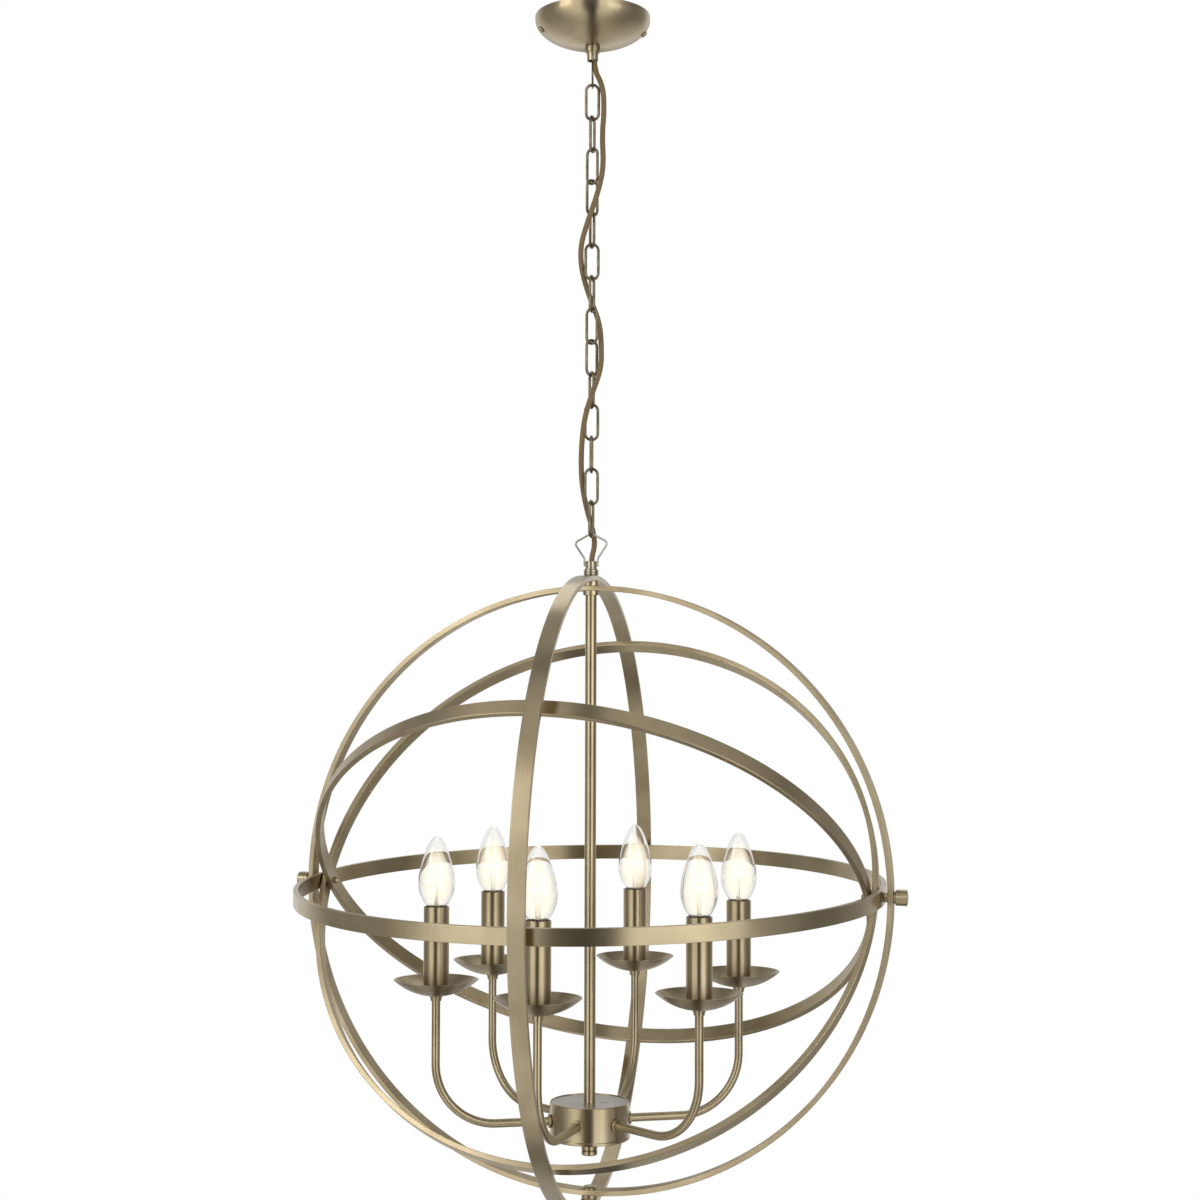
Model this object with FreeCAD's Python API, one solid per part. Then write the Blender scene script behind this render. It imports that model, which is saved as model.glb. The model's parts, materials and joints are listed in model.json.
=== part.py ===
import FreeCAD, Part
import math
import os

V = FreeCAD.Vector

# An orb chandelier: six candle lamps on a stem inside five nested flat hoops,
# hung from a domed canopy by a chain with the flex wound round it.
# Millimetres and degrees. +Z is up and the origin is where the bracket meets the ceiling.
# +X lies along the pins that the three inner hoops tilt on.

# ---- canopy and its brackets ----
CANOPY_RADIUS = 56.0
CANOPY_DEPTH = 29.0
CANOPY_LIP = 3.0              # straight lip above the dome
CANOPY_WALL = 1.2
DOME_ARCS = 3                 # arcs that draw a quarter of the dome
STRAP_GAUGE = 1.6
STRAP_WIDTH = 16.0
BRACKET_HALF_LENGTH = 42.0
BRACKET_JOGGLE = 8.0          # how far the bracket's middle is pressed down
BRACKET_FLAT_HALF = 16.0      # half length of the pressed middle
BRACKET_SLOPE = 6.0           # length of each slope, along the bracket
SLOT_SPACING = 62.0           # ceiling screws, centre to centre
SLOT_LENGTH = 12.0
SLOT_WIDTH = 4.6
STRAP_TURN = 23.0             # the canopy strap's turn from the bracket
TAB_WIDTH = 10.0
TAB_LENGTH = 8.0
SIDE_SCREW_HEIGHT = 14.5      # below the ceiling, where the side screws go in
SIDE_SCREW_RADIUS = 2.0
SIDE_HEAD_RADIUS = 3.6
SIDE_HEAD_HEIGHT = 1.8
SIDE_HEAD_LIFT = 0.25         # keeps the flat of each head off the curve of the dome
BLOCK_START = 13.0            # terminal block, measured out along the strap
BLOCK_LENGTH = 18.0
BLOCK_WIDTH = 15.0
BLOCK_HEIGHT = 9.0
BLOCK_WAYS = 3

# ---- gallery: the turned fitting above the orb, and upside down below the canopy ----
SPIGOT_RADIUS = 5.0
GALLERY_COLLAR_RADIUS = 7.2
GALLERY_COLLAR_HEIGHT = 5.5
GALLERY_BEAD_RADIUS = 6.2
GALLERY_BEAD_HEIGHT = 1.2
GALLERY_NECK_RADIUS = 5.4
GALLERY_NECK_HEIGHT = 8.5
GALLERY_BORE_RADIUS = 3.5
PIVOT_HEIGHT = 9.4            # bail pivot above the foot of the collar
NUT_ACROSS = 14.0
NUT_HEIGHT = 4.0

# ---- bails: spade-shaped wire loops on the two galleries ----
BAIL_WIRE = 2.0
BAIL_RISE = 31.0              # pivot to the middle of the wire at the tip
BAIL_HALF_WIDTH = 17.0
BAIL_SHOULDER = 22.5          # height of the widest point above the pivot
BAIL_LEG = 7.0                # height of the straight legs
BAIL_HOOK = 1.6               # how far each hook reaches into the neck
BAIL_TIP_RADIUS = 4.0

# ---- chain ----
LINK_COUNT = 14
LINK_WIRE = 2.8
WIRE_SIDES = 8                # flats round a wire or the flex
LINK_INNER_LENGTH = 31.55
LINK_INNER_WIDTH = 9.4
CHAIN_FACE = 16.0             # direction that the first link lies in
CHAIN_TWIST = 72.0            # turn from each link to the next
STEADY_LINKS = 11             # links laid at that turn; the rest share what is left to the bail
LOW_TWIST = 90.0              # turn that the rest come near
LOW_FACE = 90.0               # direction of the last link, square to the orb's bail
SEAT_GAP = 0.3                # left between wires that hang in one another

# ---- flex ----
FLEX_RADIUS = 2.6
# (turn from the chain's face towards the front, distance from the axis, height below the ceiling)
FLEX_ROUTE = [
    (180, 0.0, 4.0),
    (180, 0.0, 49.0),
    (30, 11.8, 69.0),
    (2, 11.5, 92.0),
    (-8, 9.5, 116.0),
    (14, 11.5, 147.0),
    (58, 11.5, 173.0),
    (108, 9.5, 199.0),
    (160, 12.5, 226.0),
    (212, 11.5, 250.0),
    (262, 12.0, 274.0),
    (312, 11.5, 298.0),
    (354, 9.5, 323.0),
    (398, 11.5, 346.0),
    (446, 12.0, 369.0),
    (494, 10.0, 393.0),
    (532, 10.0, 422.0),
    (566, 11.0, 450.0),
    (602, 12.5, 475.0),
    (640, 12.0, 502.0),
    (664, 6.6, 515.5),
    (664, 0.0, 529.0),
    (664, 0.0, 560.0),
    (664, 0.0, 1050.0),
]

# ---- hoops ----
HOOP_WIDTH = 15.0
HOOP_GAUGE = 5.0
OUTER_HOOP_RADIUS = 300.0
MAIN_HOOP_SPACE = 4.5         # outer hoop to main hoop
LEVEL_HOOP_SPACE = 3.9        # main hoop to level hoop, where the bushes are
REAR_HOOP_SPACE = 0.8         # level hoop to the hoop that leans back
FRONT_HOOP_SPACE = 1.3        # that one to the hoop that leans forward
MAIN_HOOP_RADIUS = OUTER_HOOP_RADIUS - HOOP_GAUGE - MAIN_HOOP_SPACE
LEVEL_HOOP_RADIUS = MAIN_HOOP_RADIUS - HOOP_GAUGE - LEVEL_HOOP_SPACE
REAR_HOOP_RADIUS = LEVEL_HOOP_RADIUS - HOOP_GAUGE - REAR_HOOP_SPACE
FRONT_HOOP_RADIUS = REAR_HOOP_RADIUS - HOOP_GAUGE - FRONT_HOOP_SPACE
OUTER_HOOP_TURN = 4.6         # about the stem, from square across the pins
LEVEL_HOOP_TILT = 2.6         # rear side up
REAR_HOOP_LEAN = 30.7         # top away from the front, from upright
FRONT_HOOP_LEAN = 49.3        # top towards the front, from upright
RUN_CLEARANCE = 0.06          # shafts and the holes that turn on them
SIDE_GAP = 0.3                # faces that slide past each other

# ---- pins and knobs of the inner hoops ----
PIN_RADIUS = 2.5
PIN_HEAD_RADIUS = 3.1
PIN_HEAD_HEIGHT = 3.4
PIN_REACH = 8.0               # how far the pin goes into its knob
BUSH_RADIUS = 4.6
KNOB_RADIUS = 7.6
KNOB_LENGTH = 12.4
KNOB_NECK_RADIUS = 5.6
KNOB_NECK_LENGTH = 1.6
KNOB_EDGE = 0.8

# ---- stem and the foot of the hoops ----
STEM_RADIUS = 5.5
STEM_BORE_RADIUS = 4.2
SPACER_RADIUS = 7.5
STEM_NUT_RADIUS = 7.7
STEM_NUT_HEIGHT = 4.0
FOOT_PIN_RADIUS = 3.0
FOOT_HEAD_RADIUS = 6.5
FOOT_HEAD_HEIGHT = 2.6
FOOT_NUT_RADIUS = 7.0
FOOT_NUT_HEIGHT = 4.6

# ---- hub ----
HUB_RADIUS = 38.0
HUB_HEIGHT = 35.0
HUB_WALL = 1.5
HUB_TOP = -202.5              # from the orb's centre
HUB_BEAD = 0.8
HUB_BEAD_HEIGHT = 2.4
COVER_GAUGE = 1.5
COVER_RECESS = 0.8
COVER_SLOT_LENGTH = 7.0
COVER_SLOT_WIDTH = 2.2
COVER_SLOT_PLACE = 14.0
FINIAL_RADIUS = 7.7
FINIAL_HEIGHT = 16.0
STEM_TAIL = 8.0               # how far the stem reaches into the finial

# ---- arms and candles ----
ARM_COUNT = 6
ARM_PHASE = -92.0
ARM_RADIUS = 4.0
ARM_BEND = 58.0
ARM_INNER_REACH = 30.0        # the arms' inner ends, from the axis
ARM_TAIL = 8.0                # arm above the pan's floor
ARM_COLLAR_RADIUS = 6.4
ARM_COLLAR_LENGTH = 2.2
CANDLE_CIRCLE = 148.0
PAN_RADIUS = 40.0
PAN_DEPTH = 14.0
PAN_FLOOR_RADIUS = 13.2
PAN_WALL = 1.1
PAN_BOTTOM = -97.0            # from the orb's centre
SEAT_RADIUS = 7.4
SEAT_HEIGHT = 6.0
SLEEVE_RADIUS = 12.0
SLEEVE_WALL = 1.1
SLEEVE_TOP = -14.5            # from the orb's centre
HOLDER_RADIUS = 10.2
HOLDER_BORE_RADIUS = 7.3
HOLDER_DROP = 2.0             # top of the lampholder below the sleeve's
SOCKET_DEPTH = 32.0
CAP_RADIUS = 6.9
CAP_LENGTH = 25.0
CONTACT_RADIUS = 2.4
CONTACT_LENGTH = 2.5
BULB_RADIUS = 17.4
BULB_HEIGHT = 66.0            # glass above the sleeve
BULB_WALL = 0.8
GLASS_DROP = 4.0              # neck of the glass below the sleeve's top
LEAD_WIRE_RADIUS = 0.4
LEAD_SPREAD = 5.0
LEAD_HEIGHT = 26.0            # filament above the sleeve's top
COIL_RADIUS = 0.9

# ---- heights that follow ----
GALLERY_HEIGHT = GALLERY_COLLAR_HEIGHT + GALLERY_NECK_HEIGHT
TOP_PIVOT_Z = -CANOPY_DEPTH - PIVOT_HEIGHT
TOP_BAIL_TIP_Z = TOP_PIVOT_Z - BAIL_RISE
WIRE_SEAT = (BAIL_WIRE + LINK_WIRE) / 2 + SEAT_GAP
FIRST_LINK_Z = TOP_BAIL_TIP_Z + WIRE_SEAT
LINK_PITCH = LINK_INNER_LENGTH - SEAT_GAP
LINK_SPAN = LINK_INNER_LENGTH + LINK_WIRE
LAST_LINK_Z = FIRST_LINK_Z - (LINK_COUNT - 1) * LINK_PITCH
BAIL_TIP_Z = LAST_LINK_Z - LINK_SPAN + WIRE_SEAT
PIVOT_Z = BAIL_TIP_Z - BAIL_RISE
GALLERY_Z = PIVOT_Z - PIVOT_HEIGHT
CENTRE_Z = GALLERY_Z - SIDE_GAP - OUTER_HOOP_RADIUS
HUB_BOTTOM = HUB_TOP - HUB_HEIGHT
ARM_Z = HUB_TOP - HUB_HEIGHT / 2
PAN_FLOOR = PAN_BOTTOM + PAN_WALL
BRACKET_MID_Z = -BRACKET_JOGGLE - STRAP_GAUGE
STRAP_BOTTOM_Z = BRACKET_MID_Z - STRAP_GAUGE


# ---- helpers ----
def save(name, solids):
    """Write one sub-part, a solid or a group of solids."""
    solids = solids if isinstance(solids, list) else [solids]
    shape = solids[0] if len(solids) == 1 else Part.makeCompound(solids)
    shape.exportStep(os.path.join("parts", name + ".step"))


def profile_face(outline):
    """A face in the XZ plane from (x, z) points. A pair of points is an arc: its middle, its end."""
    edges = []
    here = outline[0]
    for step in outline[1:] + outline[:1]:
        start = V(here[0], 0, here[1])
        if isinstance(step[0], tuple):
            middle, here = step
            edges.append(Part.Arc(start, V(middle[0], 0, middle[1]), V(here[0], 0, here[1])).toShape())
        else:
            here = step
            edges.append(Part.makeLine(start, V(here[0], 0, here[1])))
    return Part.Face(Part.Wire(edges))


def lathe(outline):
    """Turn a closed outline of (radius, height) points about Z."""
    return profile_face(outline).revolve(V(0, 0, 0), V(0, 0, 1), 360)


def rod(radius, length, start, direction):
    return Part.makeCylinder(radius, length, start, direction)


def slab(low, high):
    size = [b - a for a, b in zip(low, high)]
    return Part.makeBox(*size, V(*low))


def around(solid, angle):
    """A copy turned about Z."""
    copy = solid.copy()
    copy.rotate(V(0, 0, 0), V(0, 0, 1), angle)
    return copy


def moved(solid, x=0.0, y=0.0, z=0.0):
    copy = solid.copy()
    copy.translate(V(x, y, z))
    return copy


def along_x(solid, side):
    """Lay a piece made along +Z so that it runs out along X on one side."""
    copy = solid.copy()
    copy.rotate(V(0, 0, 0), V(0, 1, 0), 90 * side)
    return copy


def polygon_face(centre, normal, start, half_across, sides):
    """A regular face with a flat square to `start`, half_across from its centre."""
    across = normal.cross(start)
    reach = half_across / math.cos(math.pi / sides)
    angles = [2 * math.pi * (i + 0.5) / sides for i in range(sides)]
    corners = [centre + start * (reach * math.cos(a)) + across * (reach * math.sin(a)) for a in angles]
    return Part.Face(Part.makePolygon(corners + corners[:1]))


def rounded_path(points, radii):
    """A wire of straight runs joined by arcs, and its least arc radius.

    A radius of None is nearly the largest that its two runs allow.
    """
    edges, least = [], math.inf
    here = points[0]
    for before, corner, after, radius in zip(points, points[1:], points[2:], radii):
        back, ahead = before - corner, after - corner
        half = (math.pi - back.getAngle(ahead)) / 2
        if half < 1e-6:
            continue
        if radius is None:
            radius = 0.45 * min(back.Length, ahead.Length) / math.tan(half)
        back.normalize()
        ahead.normalize()
        cut = radius * math.tan(half)
        start, end = corner + back * cut, corner + ahead * cut
        middle = corner + (back + ahead).normalize() * (radius / math.cos(half) - radius)
        edges += [Part.makeLine(here, start), Part.Arc(start, middle, end).toShape()]
        least = min(least, radius)
        here = end
    edges.append(Part.makeLine(here, points[-1]))
    return Part.Wire(edges), least


def swept(points, radii, radius, start):
    """A wire or cable along a rounded path, one flat of its section square to `start`."""
    path, least = rounded_path(points, radii)
    normal = (points[1] - points[0]).normalize()
    section = polygon_face(points[0], normal, start, radius, WIRE_SIDES)
    solid = path.makePipeShell([section.OuterWire], True, False)
    return solid, path.Length, least


# ---- canopy, brackets and what they hold ----
def strap(profile, width):
    """A strap of one gauge: its upper line in (x, z), pressed down, extruded across Y."""
    upper = [V(x, -width / 2, z) for x, z in profile]
    lower = [V(x, -width / 2, z - STRAP_GAUGE) for x, z in reversed(profile)]
    face = Part.Face(Part.makePolygon(upper + lower + upper[:1]))
    return face.extrude(V(0, width, 0))


def slot(length, width, centre, depth):
    """A round-ended slot along X that goes down from its centre."""
    half = length / 2 - width / 2
    start = centre + V(-half, -width / 2, -depth)
    body = Part.makeBox(2 * half, width, depth, start)
    for side in (-1, 1):
        body = body.fuse(rod(width / 2, depth, centre + V(side * half, 0, -depth), V(0, 0, 1)))
    return body


def ceiling_bracket():
    """The strap that two screws hold to the ceiling, its middle pressed down to take the nut."""
    low = -BRACKET_JOGGLE
    out = BRACKET_FLAT_HALF + BRACKET_SLOPE
    line = [
        (-BRACKET_HALF_LENGTH, 0),
        (-out, 0),
        (-BRACKET_FLAT_HALF, low),
        (BRACKET_FLAT_HALF, low),
        (out, 0),
        (BRACKET_HALF_LENGTH, 0),
    ]
    body = strap(line, STRAP_WIDTH)
    for side in (-1, 1):
        centre = V(side * SLOT_SPACING / 2, 0, 1)
        body = body.cut(slot(SLOT_LENGTH, SLOT_WIDTH, centre, STRAP_GAUGE + 2))
    hole = rod(SPIGOT_RADIUS + RUN_CLEARANCE, 3 * STRAP_GAUGE, V(0, 0, low - 2 * STRAP_GAUGE), V(0, 0, 1))
    return body.cut(hole)


def dome_point(arcs, inset):
    """(radius, height) on the dome, `inset` inside its outer surface, so many arcs from the rim."""
    a = CANOPY_RADIUS - inset
    b = CANOPY_DEPTH - CANOPY_LIP - inset
    angle = math.pi / 2 * arcs / DOME_ARCS
    return a * math.cos(angle), -CANOPY_LIP - b * math.sin(angle)


def dome(inset, rise):
    """The solid dome inside one of the canopy's surfaces, up to `rise` above the ceiling."""
    outline = [(0, rise), (CANOPY_RADIUS - inset, rise), dome_point(0, inset)]
    for i in range(DOME_ARCS):
        outline.append((dome_point(i + 0.5, inset), dome_point(i + 1, inset)))
    outline[-1] = (outline[-1][0], (0, outline[-1][1][1]))
    return lathe(outline)


def side_screw_frame():
    """Where a side screw crosses the dome, and the dome's outward slope there."""
    a, b = CANOPY_RADIUS, CANOPY_DEPTH - CANOPY_LIP
    angle = math.asin((SIDE_SCREW_HEIGHT - CANOPY_LIP) / b)
    outward = V(math.cos(angle) / a, 0, -math.sin(angle) / b).normalize()
    return V(a * math.cos(angle), 0, -SIDE_SCREW_HEIGHT), outward


def canopy():
    """The spun dome, open at the ceiling, with holes for the spigot and the side screws."""
    solid = dome(0, 0).cut(dome(CANOPY_WALL, CANOPY_WALL))
    solid = solid.cut(rod(SPIGOT_RADIUS, CANOPY_DEPTH, V(0, 0, -CANOPY_DEPTH - 1), V(0, 0, 1)))
    place, outward = side_screw_frame()
    for turn in (STRAP_TURN, STRAP_TURN + 180):
        hole = rod(SIDE_SCREW_RADIUS, 4 * CANOPY_WALL, place - outward * 3 * CANOPY_WALL, outward)
        solid = solid.cut(around(hole, turn))
    return solid


def canopy_strap():
    """The strap under the bracket, its ends bent to lie along the dome for the side screws."""
    place, outward = side_screw_frame()
    down = V(outward.z, 0, -outward.x)
    mid = place - outward * (CANOPY_WALL + SEAT_GAP + STRAP_GAUGE / 2)
    rise = (BRACKET_MID_Z - STRAP_GAUGE / 2 - mid.z) / down.z
    bend = mid + down * rise
    solid = slab(
        (-bend.x, -STRAP_WIDTH / 2, STRAP_BOTTOM_Z),
        (bend.x, STRAP_WIDTH / 2, BRACKET_MID_Z),
    )
    half = outward * (STRAP_GAUGE / 2)
    tail = bend + down * TAB_LENGTH
    corners = [bend + half, tail + half, tail - half, bend - half]
    face = Part.Face(Part.makePolygon([p - V(0, TAB_WIDTH / 2, 0) for p in corners + corners[:1]]))
    tab = face.extrude(V(0, TAB_WIDTH, 0))
    hole = rod(SIDE_SCREW_RADIUS, 4 * STRAP_GAUGE, mid - outward * 2 * STRAP_GAUGE, outward)
    for turn in (0, 180):
        solid = solid.fuse(around(tab, turn))
    for turn in (0, 180):
        solid = solid.cut(around(hole, turn))
    hole = rod(SPIGOT_RADIUS + RUN_CLEARANCE, 3 * STRAP_GAUGE, V(0, 0, STRAP_BOTTOM_Z - 1), V(0, 0, 1))
    return around(solid.cut(hole).removeSplitter(), STRAP_TURN)


def canopy_screws():
    """Two round-headed screws square to the dome, their heads just clear of its curve."""
    place, outward = side_screw_frame()
    place += outward * SIDE_HEAD_LIFT
    length = CANOPY_WALL + SEAT_GAP + 2 * STRAP_GAUGE
    shank = rod(SIDE_SCREW_RADIUS, length, V(0, 0, -length), V(0, 0, 1))
    edge = SIDE_HEAD_RADIUS * 0.7
    head = lathe([
        (0, 0),
        (SIDE_HEAD_RADIUS, 0),
        ((edge * 1.25, SIDE_HEAD_HEIGHT * 0.6), (edge * 0.8, SIDE_HEAD_HEIGHT)),
        (0, SIDE_HEAD_HEIGHT),
    ])
    screw = shank.fuse(head).removeSplitter()
    screw.Placement = FreeCAD.Placement(place, FreeCAD.Rotation(V(0, 0, 1), outward))
    return [around(screw, STRAP_TURN), around(screw, STRAP_TURN + 180)]


def terminal_block():
    """A three-way block under the canopy strap."""
    top = STRAP_BOTTOM_Z
    solid = slab(
        (BLOCK_START, -BLOCK_WIDTH / 2, top - BLOCK_HEIGHT),
        (BLOCK_START + BLOCK_LENGTH, BLOCK_WIDTH / 2, top),
    )
    pitch = BLOCK_WIDTH / BLOCK_WAYS
    for way in range(BLOCK_WAYS):
        y = (way - (BLOCK_WAYS - 1) / 2) * pitch
        bore = rod(pitch * 0.3, BLOCK_LENGTH + 2, V(BLOCK_START - 1, y, top - BLOCK_HEIGHT / 2), V(1, 0, 0))
        solid = solid.cut(bore)
    return around(solid, STRAP_TURN)


def gallery(spigot):
    """The turned fitting, its foot at z 0 and its neck up, with a spigot below the foot."""
    outline = [
        (GALLERY_BORE_RADIUS, -spigot),
        (SPIGOT_RADIUS, -spigot),
        (SPIGOT_RADIUS, 0),
        (GALLERY_COLLAR_RADIUS, 0),
        (GALLERY_COLLAR_RADIUS, GALLERY_COLLAR_HEIGHT),
        (GALLERY_BEAD_RADIUS, GALLERY_COLLAR_HEIGHT),
        (GALLERY_BEAD_RADIUS, GALLERY_COLLAR_HEIGHT + GALLERY_BEAD_HEIGHT),
        (GALLERY_NECK_RADIUS, GALLERY_COLLAR_HEIGHT + GALLERY_BEAD_HEIGHT),
        (GALLERY_NECK_RADIUS, GALLERY_HEIGHT),
        (GALLERY_BORE_RADIUS, GALLERY_HEIGHT),
    ]
    if not spigot:
        outline = [(GALLERY_BORE_RADIUS, 0)] + outline[3:]
    solid = lathe(outline)
    reach = 2 * GALLERY_NECK_RADIUS
    size = BAIL_WIRE / 2 / math.cos(math.pi / WIRE_SIDES) + RUN_CLEARANCE
    bore = rod(size, 2 * reach, V(-reach, 0, PIVOT_HEIGHT), V(1, 0, 0))
    return solid.cut(bore)


def canopy_gallery():
    """The fitting below the dome, neck down; its spigot carries the nut on the bracket."""
    spigot = CANOPY_DEPTH - BRACKET_JOGGLE + NUT_HEIGHT
    solid = gallery(spigot)
    solid.rotate(V(0, 0, 0), V(1, 0, 0), 180)
    return moved(around(solid, CHAIN_FACE + 90), z=-CANOPY_DEPTH)


def canopy_nut():
    solid = polygon_face(V(0, 0, -BRACKET_JOGGLE), V(0, 0, 1), V(1, 0, 0), NUT_ACROSS / 2, 6)
    solid = solid.extrude(V(0, 0, NUT_HEIGHT))
    return solid.cut(rod(SPIGOT_RADIUS, 2 * NUT_HEIGHT, V(0, 0, -BRACKET_JOGGLE - 1), V(0, 0, 1)))


# ---- bails and chain ----
def bail():
    """The wire loop: pivot hooks on the X axis at z 0, tip up."""
    leg = GALLERY_NECK_RADIUS + BAIL_WIRE / 2 + SEAT_GAP
    right = [
        V(GALLERY_NECK_RADIUS - BAIL_HOOK, 0, 0),
        V(leg, 0, 0),
        V(leg, 0, BAIL_LEG),
        V(BAIL_HALF_WIDTH, 0, BAIL_SHOULDER),
    ]
    left = [V(-p.x, 0, p.z) for p in reversed(right)]
    # the flanks meet above the tip, which their round brings down to its height
    flank = math.hypot(BAIL_HALF_WIDTH, BAIL_RISE - BAIL_SHOULDER)
    rise = BAIL_TIP_RADIUS * (flank / BAIL_HALF_WIDTH - 1)
    points = right + [V(0, 0, BAIL_RISE + rise)] + left
    radii = [BAIL_WIRE * 0.55, 5.0, 3.6, BAIL_TIP_RADIUS, 3.6, 5.0, BAIL_WIRE * 0.55]
    solid, _, _ = swept(points, radii, BAIL_WIRE / 2, V(0, 1, 0))
    return solid


def link():
    """One chain link in the XZ plane, the middle of its top wire at z 0."""
    bend = (LINK_INNER_WIDTH + LINK_WIRE) / 2
    straight = LINK_SPAN - 2 * bend
    start = V(bend, 0, -bend)
    section = polygon_face(start, V(0, 0, 1), V(1, 0, 0), LINK_WIRE / 2, WIRE_SIDES)
    crown = section.revolve(V(0, 0, -bend), V(0, 1, 0), -180)
    low = moved(section, z=-straight)
    foot = low.revolve(V(0, 0, -bend - straight), V(0, 1, 0), 180)
    side = low.extrude(V(0, 0, straight))
    other = moved(side, x=-2 * bend)
    return crown.fuse([foot, side, other]).removeSplitter()


def link_turns():
    """The direction that each link lies in. The last is square to the orb's bail, and the links
    before it share the turn that is left in equal steps.
    """
    turns = [CHAIN_FACE + CHAIN_TWIST * i for i in range(STEADY_LINKS)]
    left = LINK_COUNT - STEADY_LINKS
    goal = turns[-1] + LOW_TWIST * left
    last = LOW_FACE + 180.0 * round((goal - LOW_FACE) / 180.0)
    step = (last - turns[-1]) / left
    return turns + [turns[-1] + step * (i + 1) for i in range(left)]


def flex():
    """The cable wound round the chain, from the canopy's spigot down the stem to the hub."""
    points = []
    for turn, reach, depth in FLEX_ROUTE:
        a = math.radians(CHAIN_FACE - turn)
        points.append(V(reach * math.cos(a), reach * math.sin(a), -depth))
    solid, length, least = swept(points, [None] * (len(points) - 2), FLEX_RADIUS, V(1, 0, 0))
    print("flex: length %.1f, least bend radius %.1f" % (length, least))
    return solid


# ---- hoops ----
def hoop(radius, holes=()):
    """A flat bar bent into a ring in the XY plane, with holes (radius, direction) through it."""
    inner = radius - HOOP_GAUGE
    start = V(0, 0, -HOOP_WIDTH / 2)
    solid = Part.makeCylinder(radius, HOOP_WIDTH, start)
    solid = solid.cut(Part.makeCylinder(inner, HOOP_WIDTH, start))
    for size, direction in holes:
        reach = direction * (inner - 1)
        solid = solid.cut(rod(size, HOOP_GAUGE + 2, reach, direction))
    return solid


def upright_hoop(radius, top_hole, foot_hole, side_hole):
    """A hoop in the XZ plane, for the stem at its top and the foot pin at its foot."""
    holes = [(top_hole, V(0, -1, 0)), (foot_hole, V(0, 1, 0))]
    if side_hole:
        holes += [(side_hole, V(1, 0, 0)), (side_hole, V(-1, 0, 0))]
    solid = hoop(radius, holes)
    solid.rotate(V(0, 0, 0), V(1, 0, 0), -90)
    return moved(solid, z=CENTRE_Z)


def tilting_hoop(radius, tilt):
    """A hoop on the side pins, level at 0 and turned about +X by its tilt."""
    size = PIN_RADIUS + RUN_CLEARANCE
    solid = hoop(radius, [(size, V(1, 0, 0)), (size, V(-1, 0, 0))])
    solid.rotate(V(0, 0, 0), V(1, 0, 0), tilt)
    return moved(solid, z=CENTRE_Z)


def pin_pieces():
    """Side pins, bushes and knobs for the right, as pieces along +Z from the orb's centre."""
    inner_face = FRONT_HOOP_RADIUS - HOOP_GAUGE - SIDE_GAP
    knob_face = MAIN_HOOP_RADIUS + SIDE_GAP
    pin_end = knob_face + PIN_REACH
    dome = PIN_HEAD_RADIUS * 0.55
    pin = lathe([
        (0, inner_face - PIN_HEAD_HEIGHT),
        (dome, inner_face - PIN_HEAD_HEIGHT),
        (PIN_HEAD_RADIUS, inner_face - PIN_HEAD_HEIGHT / 2),
        (PIN_HEAD_RADIUS, inner_face),
        (PIN_RADIUS, inner_face),
        (PIN_RADIUS, pin_end),
        (0, pin_end),
    ])
    main_inner = MAIN_HOOP_RADIUS - HOOP_GAUGE
    seat = math.sqrt(main_inner**2 - BUSH_RADIUS**2)
    bush_start = LEVEL_HOOP_RADIUS + SIDE_GAP
    bush = lathe([
        (PIN_RADIUS, bush_start),
        (BUSH_RADIUS, bush_start),
        (BUSH_RADIUS, seat),
        (PIN_RADIUS, seat),
    ])
    bore = PIN_RADIUS + RUN_CLEARANCE
    end = knob_face + KNOB_LENGTH
    neck = knob_face + KNOB_NECK_LENGTH
    knob = lathe([
        (bore, knob_face),
        (KNOB_NECK_RADIUS, knob_face),
        (KNOB_NECK_RADIUS, neck),
        (KNOB_RADIUS - KNOB_EDGE, neck),
        (KNOB_RADIUS, neck + KNOB_EDGE),
        (KNOB_RADIUS, end - KNOB_EDGE),
        (KNOB_RADIUS - KNOB_EDGE, end),
        (0, end),
        (0, pin_end + SIDE_GAP),
        (bore, pin_end + SIDE_GAP),
    ])
    return pin, bush, knob


# ---- stem and foot ----
def ring_face(inner, outer, low, high):
    """A plain ring or washer between two heights from the orb's centre."""
    solid = lathe([(inner, low), (outer, low), (outer, high), (inner, high)])
    return moved(solid, z=CENTRE_Z)


def stem():
    low = HUB_BOTTOM - STEM_TAIL
    high = OUTER_HOOP_RADIUS + SIDE_GAP
    return ring_face(STEM_BORE_RADIUS, STEM_RADIUS, low, high)


def stem_spacer():
    """Holds the outer hoop clear of the main hoop at the top."""
    inner = OUTER_HOOP_RADIUS - HOOP_GAUGE
    return ring_face(STEM_RADIUS, SPACER_RADIUS, MAIN_HOOP_RADIUS, inner - SIDE_GAP)


def foot_spacer():
    inner = OUTER_HOOP_RADIUS - HOOP_GAUGE
    return ring_face(FOOT_PIN_RADIUS, SPACER_RADIUS, SIDE_GAP - inner, -MAIN_HOOP_RADIUS)


def hoop_seat(radius, reach):
    """Height of a hoop's inner face at `reach` from its pole, where a flat nut meets it."""
    return math.sqrt((radius - HOOP_GAUGE) ** 2 - reach**2)


def stem_nuts():
    """The round nut under the main hoop and the lock nut under the hub's cover."""
    top = hoop_seat(MAIN_HOOP_RADIUS, STEM_NUT_RADIUS)
    upper = ring_face(STEM_RADIUS, STEM_NUT_RADIUS, top - STEM_NUT_HEIGHT, top)
    cover = HUB_TOP - COVER_RECESS - COVER_GAUGE
    lower = ring_face(STEM_RADIUS, STEM_NUT_RADIUS, cover - STEM_NUT_HEIGHT, cover)
    return [upper, lower]


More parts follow.
